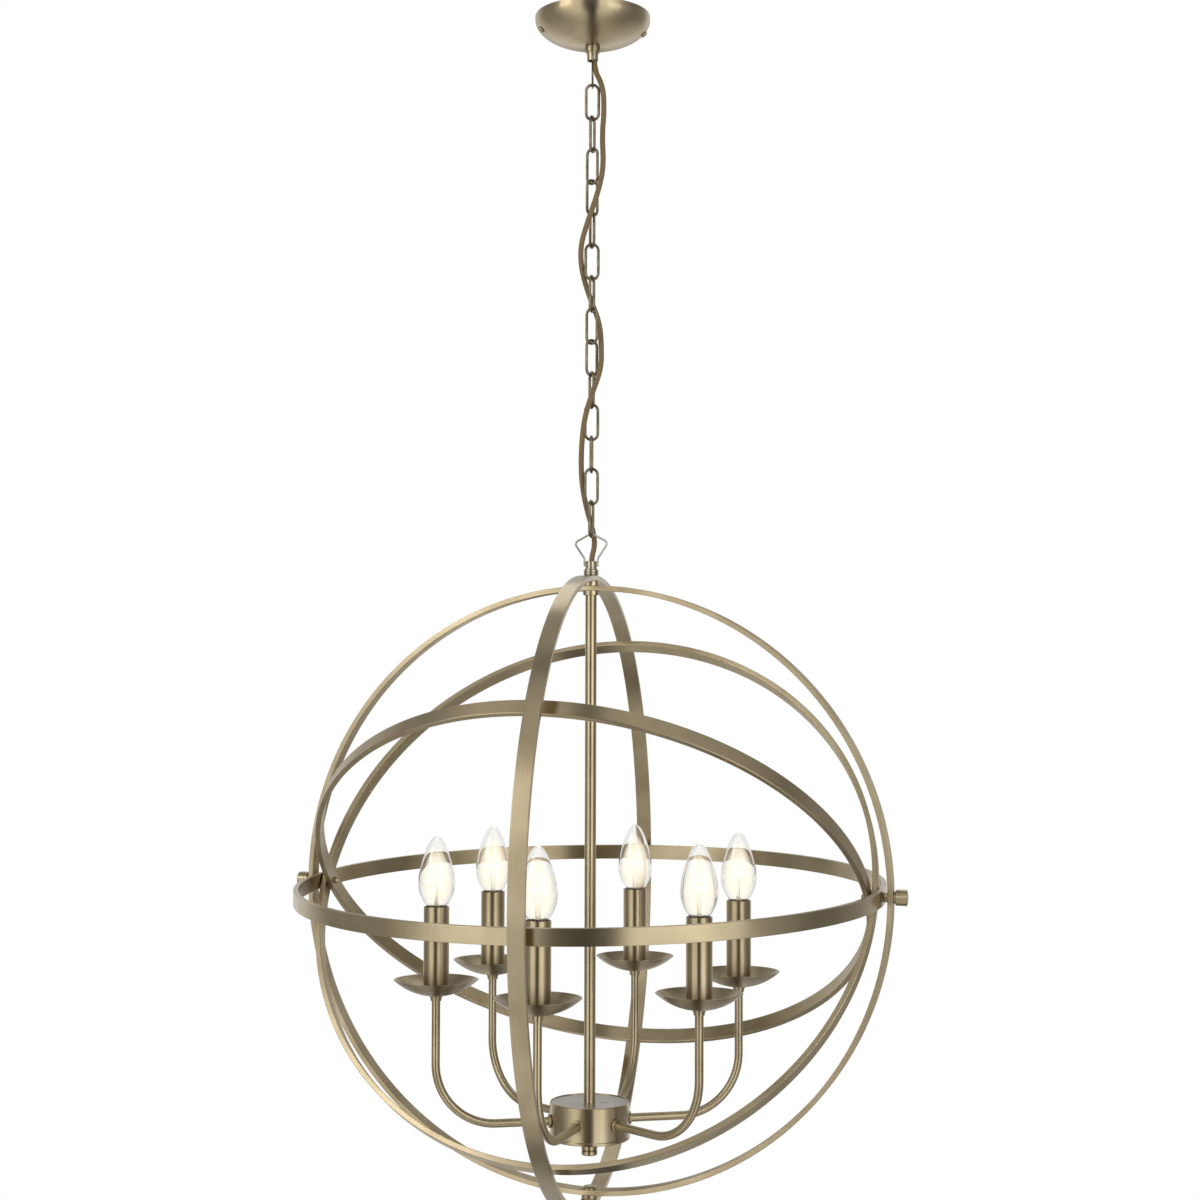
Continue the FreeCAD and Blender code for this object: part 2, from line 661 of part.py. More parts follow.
def foot_screw():
    """The low-headed pin that both upright hoops meet on at the foot."""
    top = -hoop_seat(MAIN_HOOP_RADIUS, FOOT_HEAD_RADIUS)
    low = -OUTER_HOOP_RADIUS - SIDE_GAP - FOOT_NUT_HEIGHT * 0.7
    edge = FOOT_HEAD_RADIUS * 0.8
    solid = lathe([
        (0, low),
        (FOOT_PIN_RADIUS, low),
        (FOOT_PIN_RADIUS, top),
        (FOOT_HEAD_RADIUS, top),
        (FOOT_HEAD_RADIUS, top + FOOT_HEAD_HEIGHT / 2),
        (edge, top + FOOT_HEAD_HEIGHT),
        (0, top + FOOT_HEAD_HEIGHT),
    ])
    return moved(solid, z=CENTRE_Z)


def foot_nut():
    """The domed nut under the outer hoop."""
    top = -OUTER_HOOP_RADIUS - SIDE_GAP
    low = top - FOOT_NUT_HEIGHT
    roof = top - FOOT_NUT_HEIGHT * 0.7
    shoulder = (FOOT_NUT_RADIUS * 0.85, low + FOOT_NUT_HEIGHT * 0.25)
    solid = lathe([
        (FOOT_PIN_RADIUS, top),
        (FOOT_NUT_RADIUS, top),
        (FOOT_NUT_RADIUS, top - FOOT_NUT_HEIGHT * 0.4),
        (shoulder, (FOOT_NUT_RADIUS * 0.5, low)),
        (0, low),
        (0, roof),
        (FOOT_PIN_RADIUS, roof),
    ])
    return moved(solid, z=CENTRE_Z)


# ---- hub ----
def arm_turns():
    return [ARM_PHASE + i * 360.0 / ARM_COUNT for i in range(ARM_COUNT)]


def hub_body():
    """The drum: an open cup with a bead at its foot and a hole for each arm."""
    low, high = HUB_BOTTOM, HUB_TOP
    inner = HUB_RADIUS - HUB_WALL
    bead = HUB_RADIUS + HUB_BEAD
    solid = lathe([
        (STEM_RADIUS, low),
        (bead - HUB_BEAD, low),
        (bead, low + HUB_BEAD),
        (bead, low + HUB_BEAD_HEIGHT),
        (HUB_RADIUS, low + HUB_BEAD_HEIGHT + HUB_BEAD),
        (HUB_RADIUS, high - HUB_BEAD),
        (HUB_RADIUS - HUB_BEAD, high),
        (inner, high),
        (inner, low + HUB_WALL),
        (STEM_RADIUS, low + HUB_WALL),
    ])
    for turn in arm_turns():
        hole = rod(ARM_RADIUS, 4 * HUB_WALL, V(inner - HUB_WALL, 0, ARM_Z), V(1, 0, 0))
        solid = solid.cut(around(hole, turn))
    return moved(solid, z=CENTRE_Z)


def hub_cover():
    """The disc let into the drum's top, with the small slot beside the stem."""
    top = HUB_TOP - COVER_RECESS
    radius = HUB_RADIUS - HUB_WALL
    solid = lathe([
        (STEM_RADIUS, top - COVER_GAUGE),
        (radius, top - COVER_GAUGE),
        (radius, top),
        (STEM_RADIUS, top),
    ])
    centre = V(COVER_SLOT_PLACE, 0, top + 1)
    solid = solid.cut(slot(COVER_SLOT_LENGTH, COVER_SLOT_WIDTH, centre, COVER_GAUGE + 2))
    return moved(solid, z=CENTRE_Z)


def finial_nut():
    """The long round nut under the drum, screwed onto the stem's tail."""
    top = HUB_BOTTOM
    low = top - FINIAL_HEIGHT
    edge = FINIAL_RADIUS * 0.12
    groove = low + FINIAL_HEIGHT * 0.3
    solid = lathe([
        (STEM_RADIUS, top),
        (FINIAL_RADIUS, top),
        (FINIAL_RADIUS, groove + edge),
        (FINIAL_RADIUS - edge, groove),
        (FINIAL_RADIUS, groove - edge),
        (FINIAL_RADIUS, low + edge),
        (FINIAL_RADIUS - edge, low),
        (0, low),
        (0, top - STEM_TAIL),
        (STEM_RADIUS, top - STEM_TAIL),
    ])
    return moved(solid, z=CENTRE_Z)


# ---- arms and candles, each made on +X and repeated round the stem ----
def arm():
    """One arm: straight out of the drum, a quarter bend and up through its pan."""
    inner = CANDLE_CIRCLE - ARM_BEND
    bend_top = ARM_Z + ARM_BEND
    out = rod(ARM_RADIUS, inner - ARM_INNER_REACH, V(ARM_INNER_REACH, 0, ARM_Z), V(1, 0, 0))
    ring = Part.Face(Part.Wire(Part.makeCircle(ARM_RADIUS, V(inner, 0, ARM_Z), V(1, 0, 0))))
    quarter = ring.revolve(V(inner, 0, bend_top), V(0, 1, 0), -90)
    end = PAN_FLOOR + ARM_TAIL
    up = rod(ARM_RADIUS, end - bend_top, V(CANDLE_CIRCLE, 0, bend_top), V(0, 0, 1))
    return out.fuse([quarter, up]).removeSplitter()


def arm_collar():
    start = V(HUB_RADIUS, 0, ARM_Z)
    solid = rod(ARM_COLLAR_RADIUS, ARM_COLLAR_LENGTH, start, V(1, 0, 0))
    return solid.cut(rod(ARM_RADIUS, 2 * ARM_COLLAR_LENGTH, start - V(1, 0, 0), V(1, 0, 0)))


def pan_seat():
    """The small cup that the arm carries its pan on."""
    solid = lathe([
        (ARM_RADIUS, PAN_BOTTOM - SEAT_HEIGHT),
        (ARM_RADIUS + 1.0, PAN_BOTTOM - SEAT_HEIGHT),
        ((ARM_RADIUS + 1.6, PAN_BOTTOM - SEAT_HEIGHT * 0.5), (SEAT_RADIUS, PAN_BOTTOM)),
        (ARM_RADIUS, PAN_BOTTOM),
    ])
    return moved(solid, x=CANDLE_CIRCLE)


def drip_pan():
    """The spun dish: a flat floor, a flank that is a zone of a sphere, and a plain rim."""
    centre = (PAN_RADIUS**2 - PAN_FLOOR_RADIUS**2 + PAN_DEPTH**2) / (2 * PAN_DEPTH)
    sphere = math.hypot(PAN_FLOOR_RADIUS, centre)
    inner_sphere = sphere - PAN_WALL

    def at_radius(radius, size):
        return radius, centre - math.sqrt(size**2 - radius**2)

    def at_height(height, size):
        return math.sqrt(size**2 - (centre - height) ** 2), height

    halfway = (PAN_RADIUS + PAN_FLOOR_RADIUS) / 2
    solid = lathe([
        (ARM_RADIUS, 0),
        (PAN_FLOOR_RADIUS, 0),
        (at_radius(halfway, sphere), (PAN_RADIUS, PAN_DEPTH)),
        at_height(PAN_DEPTH, inner_sphere),
        (at_radius(halfway, inner_sphere), at_height(PAN_WALL, inner_sphere)),
        (ARM_RADIUS, PAN_WALL),
    ])
    return moved(solid, x=CANDLE_CIRCLE, z=PAN_BOTTOM)


def candle_sleeve():
    inner = SLEEVE_RADIUS - SLEEVE_WALL
    solid = lathe([
        (inner, PAN_FLOOR),
        (SLEEVE_RADIUS, PAN_FLOOR),
        (SLEEVE_RADIUS, SLEEVE_TOP),
        (inner, SLEEVE_TOP),
    ])
    return moved(solid, x=CANDLE_CIRCLE)


def lampholder():
    """The small screw lampholder that stands on the pan inside the sleeve."""
    top = SLEEVE_TOP - HOLDER_DROP
    floor = top - SOCKET_DEPTH
    solid = lathe([
        (ARM_RADIUS, PAN_FLOOR),
        (HOLDER_RADIUS, PAN_FLOOR),
        (HOLDER_RADIUS, top),
        (HOLDER_BORE_RADIUS, top),
        (HOLDER_BORE_RADIUS, floor),
        (0, floor),
        (0, PAN_FLOOR + ARM_TAIL),
        (ARM_RADIUS, PAN_FLOOR + ARM_TAIL),
    ])
    return moved(solid, x=CANDLE_CIRCLE)


def bulb_outline(inset):
    """The candle bulb's line from its neck to its tip, (radius, height above the sleeve)."""
    tip = BULB_HEIGHT - inset
    wide = BULB_RADIUS - inset
    return [
        (CAP_RADIUS - inset, -GLASS_DROP),
        (CAP_RADIUS - inset, -HOLDER_DROP / 2),
        (wide * 0.66, BULB_HEIGHT * 0.05),
        (wide * 0.93, BULB_HEIGHT * 0.2),
        (wide, BULB_HEIGHT * 0.35),
        (wide * 0.9, BULB_HEIGHT * 0.54),
        (wide * 0.58, BULB_HEIGHT * 0.78),
        (wide * 0.24, tip * 0.95),
        (0, tip),
    ]


def bulb_glass():
    """A thin glass candle, closed at its neck by the cap."""
    outer = bulb_outline(0)
    inner = bulb_outline(BULB_WALL)
    inner[0] = (inner[0][0], outer[0][1])
    solid = lathe(outer + list(reversed(inner)))
    return moved(solid, x=CANDLE_CIRCLE, z=SLEEVE_TOP)


def bulb_cap():
    """The bulb's metal cap and end contact."""
    top = SLEEVE_TOP - GLASS_DROP
    low = top - CAP_LENGTH
    solid = lathe([
        (0, low - CONTACT_LENGTH),
        (CONTACT_RADIUS, low - CONTACT_LENGTH),
        (CAP_RADIUS * 0.7, low),
        (CAP_RADIUS, low + 2),
        (CAP_RADIUS, top),
        (0, top),
    ])
    return moved(solid, x=CANDLE_CIRCLE)


def filament():
    """Two lead wires standing on the cap, with the filament across their tops."""
    foot = SLEEVE_TOP - GLASS_DROP
    top = SLEEVE_TOP + LEAD_HEIGHT
    solid = rod(COIL_RADIUS, 2 * LEAD_SPREAD, V(0, -LEAD_SPREAD, top), V(0, 1, 0))
    for side in (-1, 1):
        start = V(0, side * 2.0, foot)
        lead = V(0, side * LEAD_SPREAD * 0.9, top) - start
        solid = solid.fuse(rod(LEAD_WIRE_RADIUS, lead.Length, start, lead))
    return moved(solid.removeSplitter(), x=CANDLE_CIRCLE)


def round_the_stem(solid):
    """Six copies of a piece made on +X, lowered to the orb's centre."""
    return [around(moved(solid, z=CENTRE_Z), turn) for turn in arm_turns()]


# ---- build and write every sub-part ----
def main():
    os.makedirs("parts", exist_ok=True)

    save("ceiling_bracket", ceiling_bracket())
    save("canopy_strap", canopy_strap())
    save("canopy", canopy())
    save("canopy_screws", canopy_screws())
    save("terminal_block", terminal_block())
    save("canopy_gallery", canopy_gallery())
    save("canopy_nut", canopy_nut())

    loop = bail()
    upper = loop.copy()
    upper.rotate(V(0, 0, 0), V(1, 0, 0), 180)
    save("canopy_bail", moved(around(upper, CHAIN_FACE + 90), z=TOP_PIVOT_Z))
    save("orb_bail", moved(loop, z=PIVOT_Z))

    one_link = link()
    for i, turn in enumerate(link_turns()):
        z = FIRST_LINK_Z - i * LINK_PITCH
        save("chain_link_%02d" % (i + 1), moved(around(one_link, turn), z=z))
    save("flex", flex())

    save("orb_gallery", moved(gallery(0), z=GALLERY_Z))
    pin, bush, knob = pin_pieces()
    bushes = [moved(along_x(bush, side), z=CENTRE_Z) for side in (-1, 1)]
    save("hoop_spacers", [stem_spacer(), foot_spacer()] + bushes)
    save("stem", stem())
    save("stem_nuts", stem_nuts())
    save("foot_screw", foot_screw())
    save("foot_nut", foot_nut())
    save("pivot_pins", [moved(along_x(pin, side), z=CENTRE_Z) for side in (-1, 1)])
    save("knob_left", moved(along_x(knob, -1), z=CENTRE_Z))
    save("knob_right", moved(along_x(knob, 1), z=CENTRE_Z))

    foot_hole = FOOT_PIN_RADIUS + RUN_CLEARANCE
    outer = upright_hoop(OUTER_HOOP_RADIUS, STEM_RADIUS + RUN_CLEARANCE, foot_hole, 0)
    save("hoop_outer", around(outer, 90 + OUTER_HOOP_TURN))
    save("hoop_main", upright_hoop(MAIN_HOOP_RADIUS, STEM_RADIUS, FOOT_PIN_RADIUS, PIN_RADIUS))
    save("hoop_level", tilting_hoop(LEVEL_HOOP_RADIUS, LEVEL_HOOP_TILT))
    save("hoop_rear", tilting_hoop(REAR_HOOP_RADIUS, 90 - REAR_HOOP_LEAN))
    save("hoop_front", tilting_hoop(FRONT_HOOP_RADIUS, 90 + FRONT_HOOP_LEAN))

    save("hub_body", hub_body())
    save("hub_cover", hub_cover())
    save("finial_nut", finial_nut())
    save("arms", round_the_stem(arm()))
    save("arm_collars", round_the_stem(arm_collar()))
    save("pan_seats", round_the_stem(pan_seat()))
    for i, solid in enumerate(round_the_stem(drip_pan())):
        save("drip_pan_%d" % (i + 1), solid)
    for i, solid in enumerate(round_the_stem(candle_sleeve())):
        save("candle_sleeve_%d" % (i + 1), solid)
    save("lampholders", round_the_stem(lampholder()))
    save("bulb_glasses", round_the_stem(bulb_glass()))
    save("bulb_caps", round_the_stem(bulb_cap()))
    save("filaments", round_the_stem(filament()))
    print("orb centre at z %.1f" % CENTRE_Z)


main()
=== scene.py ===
"""The looks of the orb chandelier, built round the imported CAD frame.

Lengths are in millimetres and angles in degrees unless a comment says otherwise, and mesh() turns
millimetres into metres. +Z is up, +X runs along the pins that the inner hoops tilt on, and the front
is towards -Y.
"""

import json
import math

import bpy
from mathutils import Matrix, Vector

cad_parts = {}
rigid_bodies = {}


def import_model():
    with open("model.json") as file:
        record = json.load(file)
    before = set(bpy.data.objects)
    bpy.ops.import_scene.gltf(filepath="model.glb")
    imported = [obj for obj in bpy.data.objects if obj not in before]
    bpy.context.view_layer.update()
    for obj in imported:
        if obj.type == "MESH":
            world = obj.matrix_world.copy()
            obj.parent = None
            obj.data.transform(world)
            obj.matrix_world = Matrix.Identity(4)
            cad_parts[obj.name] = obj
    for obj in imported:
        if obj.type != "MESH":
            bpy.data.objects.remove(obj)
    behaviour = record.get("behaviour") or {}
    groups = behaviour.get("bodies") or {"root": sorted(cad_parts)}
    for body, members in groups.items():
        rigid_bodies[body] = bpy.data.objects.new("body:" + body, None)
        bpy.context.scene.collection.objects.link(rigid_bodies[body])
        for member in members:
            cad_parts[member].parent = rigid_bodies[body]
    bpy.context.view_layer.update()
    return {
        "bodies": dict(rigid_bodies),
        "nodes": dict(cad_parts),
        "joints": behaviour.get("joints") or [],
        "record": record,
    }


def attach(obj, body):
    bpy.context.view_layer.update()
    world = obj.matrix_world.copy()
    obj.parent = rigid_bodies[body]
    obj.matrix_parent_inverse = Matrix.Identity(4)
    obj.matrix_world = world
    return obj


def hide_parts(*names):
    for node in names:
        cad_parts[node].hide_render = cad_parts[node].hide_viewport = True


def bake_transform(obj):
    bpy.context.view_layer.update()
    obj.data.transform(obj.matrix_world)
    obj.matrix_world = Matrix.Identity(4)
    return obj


MM = 0.001
TINY = 1e-6
WHITE = (1, 1, 1, 1)

# ---- heights, from the ceiling down ----
CANOPY_FOOT = -29.0
TOP_PIVOT = -38.4
TOP_TIP = -69.4
FIRST_LINK = -66.7
LINK_PITCH = 31.25
LINK_SPAN = 34.35
LINK_COUNT = 14
ORB_BAIL_PIVOT = -535.6
GALLERY_FOOT = -545.0
CENTRE = -845.3

# ---- canopy and the turned fittings above and below the chain ----
CANOPY_RADIUS = 56.0
CANOPY_RIM = 3.0              # straight part of the wall, at the ceiling
CANOPY_WALL = 1.2
CANOPY_BORE = 5.0
GALLERY_BORE = 3.5
GALLERY_HEIGHT = 14.0

# ---- chain and flex ----
CHAIN_FACE = 16.0             # turn of the first link about Z
CHAIN_TWIST = 72.0            # from each link to the next
STEADY_LINKS = 11             # links with that twist, before the last ones turn to suit the lower bail
LINK_WIRE = 2.8
LINK_WIDTH = 12.2             # centre to centre of the two sides
BAIL_WIRE = 2.0
BAIL_INSET = 6.0              # from a bail's hooks to where the flex bends beside them
FLEX_RADIUS = 2.6
FLEX_SIDES = 20
BRAID_STRANDS = 14
BRAID_PITCH = 13.0            # length in which a strand goes once round
# (turn from the chain's face towards the front, distance from the axis, height below the ceiling)
FLEX_ROUTE = [
    (180, 0.0, 4.0),
    (180, 0.0, 49.0),
    (30, 11.8, 69.0),
    (2, 11.5, 92.0),
    (-8, 9.5, 116.0),
    (14, 11.5, 147.0),
    (58, 11.5, 173.0),
    (108, 9.5, 199.0),
    (160, 12.5, 226.0),
    (212, 11.5, 250.0),
    (262, 12.0, 274.0),
    (312, 11.5, 298.0),
    (354, 9.5, 323.0),
    (398, 11.5, 346.0),
    (446, 12.0, 369.0),
    (494, 10.0, 393.0),
    (532, 10.0, 422.0),
    (566, 11.0, 450.0),
    (602, 12.5, 475.0),
    (640, 12.0, 502.0),
    (664, 6.6, 515.5),
    (664, 0.0, 529.0),
    (664, 0.0, 560.0),
    (664, 0.0, 1050.0),
]

# ---- hoops, and the knobs at their sides ----
HOOP_WIDTH = 15.0
HOOP_GAUGE = 5.0
HOOP_EDGE = 0.7
# outer radius, body, turn about X from level, turn about Z
HOOPS = {
    "hoop_outer": (300.0, "hoop_outer", 90.0, 94.6),
    "hoop_main": (290.5, "orb", 90.0, 0.0),
    "hoop_level": (281.6, "hoop_level", 2.6, 0.0),
    "hoop_rear": (275.8, "hoop_rear", 59.3, 0.0),
    "hoop_front": (269.5, "hoop_front", 139.3, 0.0),
}
KNOB_FACE = 290.8
KNOB_RADIUS = 7.6
KNOB_LENGTH = 12.4

# ---- stem, hub, arms and candles, heights from the orb's centre ----
STEM_RADIUS = 5.5
STEM_BORE = 4.2
STEM_TOP = 300.3
STEM_ENTRY = 8.0              # how far the stem goes into the nut under the drum
HUB_RADIUS = 38.0
HUB_TOP = -202.5
HUB_BOTTOM = -237.5
HUB_WALL = 1.5
FINIAL_RADIUS = 7.7
FINIAL_LENGTH = 16.0
ARM_Z = -220.0
ARM_RADIUS = 4.0
ARM_BEND = 58.0
ARM_START = 30.0              # from the stem's axis, inside the drum
ARM_RISE = 9.1                # how far an arm's end stands up inside its dish
COLLAR_RADIUS = 6.4
COLLAR_LENGTH = 2.2
CANDLE_COUNT = 6
CANDLE_CIRCLE = 148.0
CANDLE_TURNS = [-92.0 + 360.0 / CANDLE_COUNT * i for i in range(CANDLE_COUNT)]
PAN_BOTTOM = -97.0
PAN_RADIUS = 40.0
PAN_DEPTH = 14.0
PAN_FLOOR_RADIUS = 13.2
PAN_WALL = 1.1
SLEEVE_RADIUS = 12.0
SLEEVE_WALL = 1.1
SLEEVE_TOP = -14.5

# ---- bulbs, heights from the sleeve's top ----
BULB_RADIUS = 17.4
BULB_HEIGHT = 66.0
BULB_WALL = 0.8
NECK_RADIUS = 6.9
NECK_DROP = 4.0
COIL_HEIGHT = 26.0
COIL_LENGTH = 10.0
COIL_RADIUS = 0.62
COIL_WIRE = 0.26              # radius
LEAD_WIRE = 0.4               # radius
GLOW_MIDDLE = 27.5
GLOW_HALF = 30.5
GLOW_RADIUS = 14.8
GLOW_LEAN = 0.25              # how much fuller the glow is towards its foot
GLOW_SHARE = 0.25             # how much each veil hides
GLOW_LIGHT = 1.25
# veils of the glow in a lit bulb, from the coil out: size and tint
GLOW = [
    (0.3, (1.0, 1.0, 0.96)),
    (0.45, (1.0, 0.99, 0.92)),
    (0.6, (1.0, 0.97, 0.86)),
    (0.75, (1.0, 0.94, 0.78)),
    (0.88, (0.99, 0.89, 0.68)),
]

# ---- shading ----
CREASE = 40.0                 # edges that turn by more than this stay sharp
WIRE_CREASE = 80.0
GLASS_CREASE = 70.0
BEND_CREASE = 60.0
CAD_CREASE = 35.0
EASE = 0.3                    # size of the arc at a turned piece's corners
EASE_SHARE = 0.4              # most of a side that such an arc takes
BLUNT = 150.0                 # a corner flatter than this isn't eased
UV_PER_MM = 0.01

# ---- metals: light, middle and dark tone, roughness, and what else brushed() is told ----
BRASS = ((0.47, 0.393, 0.255), (0.42, 0.345, 0.217), (0.35, 0.283, 0.172))
EVEN = {"along": (300.0, 300.0, 300.0), "by_uv": False}
WIRE = {"along": (3.0, 80.0, 1.0), "spun": 0.3}
CHAIN_WIRE = {"along": (3.0, 120.0, 1.0), "patina": 120.0, "spun": 0.3}
METALS = {
    "antique_brass": (BRASS, 0.305, {}),
    "drawn_brass": (BRASS, 0.305, {"along": (14.0, 1.5, 1.0)}),
    "antique_brass_plain": (((0.46, 0.382, 0.245), (0.4, 0.328, 0.204), (0.32, 0.259, 0.157)), 0.31, EVEN),
    "olive_brass": (((0.27, 0.23, 0.15), (0.185, 0.153, 0.096), (0.09, 0.074, 0.045)), 0.31, CHAIN_WIRE),
    "dish_brass": (((0.36, 0.3, 0.195), (0.31, 0.254, 0.161), (0.235, 0.19, 0.12)), 0.32, {}),
    "turned_brass": (((0.48, 0.425, 0.31), (0.41, 0.355, 0.25), (0.32, 0.272, 0.185)), 0.3, {}),
    # a darker nickel than the orb's bail, on the canopy's bail
    "dark_nickel": (((0.34, 0.32, 0.265), (0.24, 0.222, 0.175), (0.13, 0.118, 0.09)), 0.31, WIRE),
    "satin_nickel": (((0.52, 0.5, 0.45), (0.43, 0.41, 0.36), (0.27, 0.255, 0.22)), 0.3, WIRE),
    "plain_nickel": (((0.52, 0.5, 0.45), (0.46, 0.44, 0.39), (0.38, 0.36, 0.31)), 0.3, EVEN),
    "zinc_steel": (
        ((0.62, 0.63, 0.64), (0.5, 0.51, 0.52), (0.38, 0.39, 0.4)), 0.38,
        {"along": (200.0, 20.0, 200.0), "by_uv": False},
    ),
}
# CAD nodes that keep their shape, by the finish that they get
KEPT_NODES = {
    "zinc_steel": ["ceiling_bracket", "canopy_strap", "canopy_nut"],
    "white_plastic": ["terminal_block"],
    "dark_plastic": ["lampholders"],
    "plain_nickel": ["bulb_caps", "hub_cover"],
    "antique_brass_plain": [
        "canopy_screws", "canopy_gallery", "hoop_spacers", "stem_nuts", "foot_screw", "foot_nut",
        "pivot_pins",
    ],
}

# ---- camera, as the photograph was taken ----
CAMERA = (527.4, -1813.4, -657.1)
CAMERA_YAW = 15.952           # looks this far to the left of straight back
CAMERA_PITCH = 2.029
CAMERA_ROLL = 0.16
LENS = 58.8
SENSOR = 36.0
SHIFT_Y = 0.0187              # share of the sensor's width

# ---- studio ----
# name, place in metres, size in metres, watts
LAMPS = [
    ("key", (-1.5, -1.9, 0.5), 1.0, 12.0),
    ("fill", (2.2, -1.3, -0.4), 1.2, 7.0),
    ("rim", (-0.3, 1.7, 1.2), 1.2, 6.0),
]
ROOM_LIGHT = 0.8              # on surfaces that aren't glossy
SOFT_BOX = 2.0                # brightness of the brightest soft box, as metal reflects it
FRONT = -73.8                 # direction, about Z, of the side that the photograph was taken from
# (direction to the right of the front, brightness) of what stands round the object
ROUND_ABOUT = [
    (-180, 0.35), (-165, 0.35), (-145, 0.5), (-115, 0.2), (-85, 0.2), (-64, 0.5), (-46, 0.85), (-26, 0.8),
    (-16, 0.11), (11, 0.11), (13, 1.0), (40, 0.9), (54, 0.4), (85, 0.15), (120, 0.18), (145, 0.5),
    (165, 0.35), (180, 0.35),
]
# (upward share of the direction, how much of that brightness is left)
OVERHEAD = [(-1.0, 0.7), (-0.4, 0.85), (-0.12, 1.0), (0.3, 1.0), (0.6, 0.7), (1.0, 0.6)]
# (direction to the right of the front, brightness) of the painted glow on the floor, which only metal's
# reflections show
FLOOR_ABOUT = [
    (-180, 0.85), (-150, 0.6), (-120, 0.3), (-85, 0.3), (-64, 0.65), (-46, 1.0), (-26, 1.0), (-16, 0.11),
    (11, 0.11), (13, 1.0), (42, 1.0), (58, 0.5), (90, 0.2), (120, 0.22), (150, 0.5), (180, 0.85),
]
FLOOR_LEVEL = -2800.0
FLOOR_HALF = 14000.0
FLOOR_COLOUR = (0.95, 0.95, 0.94, 1)
FLOOR_LIGHT = 1.4             # brightness of the painted glow on its brightest side, which only metal reflects
FLOOR_STRIP = (0.2, 0.28)     # metres from its middle line to where the painted dark strip starts and stops fading
STRIP_LIGHT = 0.12            # share of the painted glow that is left on the painted dark strip
FLOOR_FADE = (0.8, 2.4)       # metres from the axis, over which the floor runs into the white backdrop


# ---- mesh helpers ----
def mesh(name, points, faces, uvs=None, crease=CREASE):
    """An object from points in millimetres, smooth except at edges sharper than crease."""
    data = bpy.data.meshes.new(name)
    data.from_pydata([tuple(c * MM for c in p) for p in points], [], faces)
    if uvs:
        layer = data.uv_layers.new(name="UVMap")
        for loop, uv in zip(layer.data, uvs):
            loop.uv = uv
    data.validate()
    obj = bpy.data.objects.new(name, data)
    bpy.context.scene.collection.objects.link(obj)
    smooth(obj, crease)
    return obj


def smooth(obj, crease):
    """Shade an object smooth, apart from its sharp edges."""
    obj.data.shade_smooth()
    obj.data.set_sharp_from_angle(angle=math.radians(crease))
    weighted = obj.modifiers.new("normals", "WEIGHTED_NORMAL")
    weighted.keep_sharp = True


def eased(outline, size, steps=3):
    """The same closed outline with each sharp corner turned into a small arc."""
    points = [Vector(p) for p in outline]
    result = []
    for before, corner, after in zip(points[-1:] + points[:-1], points, points[1:] + points[:1]):
        back, ahead = before - corner, after - corner
        on_axis = corner.x < TINY
        doubled = back.length < TINY or ahead.length < TINY
        if on_axis or doubled or back.angle(ahead) > math.radians(BLUNT):
            result.append(tuple(corner))
            continue
        cut = min(size, EASE_SHARE * back.length, EASE_SHARE * ahead.length)
        a, b = corner + back.normalized() * cut, corner + ahead.normalized() * cut
        for i in range(steps + 1):
            t = i / steps
            result.append(tuple(a * (1 - t) ** 2 + corner * (2 * t * (1 - t)) + b * t**2))
    return result


def turned(outline, steps, closed=True):
    """Points, faces and uvs of an outline of (radius, height) turned about Z."""
    count = len(outline)
    runs = [0.0]
    for (r0, z0), (r1, z1) in zip(outline, outline[1:] + outline[:1]):
        runs.append(runs[-1] + math.hypot(r1 - r0, z1 - z0))
    points, faces, uvs = [], [], []
    for k in range(steps):
        a = 2 * math.pi * k / steps
        points += [(r * math.cos(a), r * math.sin(a), z) for r, z in outline]
    for k in range(steps):
        here, there = k * count, ((k + 1) % steps) * count
        u0, u1 = k / steps, (k + 1) / steps
        for i in range(count if closed else count - 1):
            j = (i + 1) % count
            if outline[i][0] < TINY and outline[j][0] < TINY:
                continue
            v0, v1 = runs[i] * UV_PER_MM, runs[i + 1] * UV_PER_MM
            faces.append([here + i, there + i, there + j, here + j])
            uvs += [(u0, v0), (u1, v0), (u1, v1), (u0, v1)]
    return points, faces, uvs


def tube(path, radius, sides, closed=False):
    """Points, faces and uvs of a round bar along a list of Vectors."""
    count = len(path)
    points, faces, uvs, runs = [], [], [], []
    run, normal = 0.0, None
    for i, p in enumerate(path):
        ahead = path[(i + 1) % count] if closed or i + 1 < count else None
        behind = path[i - 1] if closed or i else None
        tangent = ((ahead or p) - (behind or p)).normalized()
        if normal is None:
            normal = tangent.orthogonal().normalized()
        normal = (normal - tangent * normal.dot(tangent)).normalized()
        other = tangent.cross(normal)
        if i:
            run += (p - path[i - 1]).length
        runs.append(run)
        for k in range(sides):
            a = 2 * math.pi * k / sides
            points.append(p + normal * (radius * math.cos(a)) + other * (radius * math.sin(a)))
    if closed:
        runs.append(run + (path[0] - path[-1]).length)
    for i in range(count if closed else count - 1):
        j = (i + 1) % count
        v0, v1 = runs[i] * UV_PER_MM, runs[i + 1] * UV_PER_MM
        for k in range(sides):
            n = (k + 1) % sides
            u0, u1 = k / sides, (k + 1) / sides
            faces.append([i * sides + k, i * sides + n, j * sides + n, j * sides + k])
            uvs += [(u0, v0), (u1, v0), (u1, v1), (u0, v1)]
    if not closed:
        for end, order in ((0, -1), (count - 1, 1)):
            faces.append([end * sides + k for k in range(sides)][::order])
            uvs += [(0.0, runs[end] * UV_PER_MM)] * sides
    return points, faces, uvs


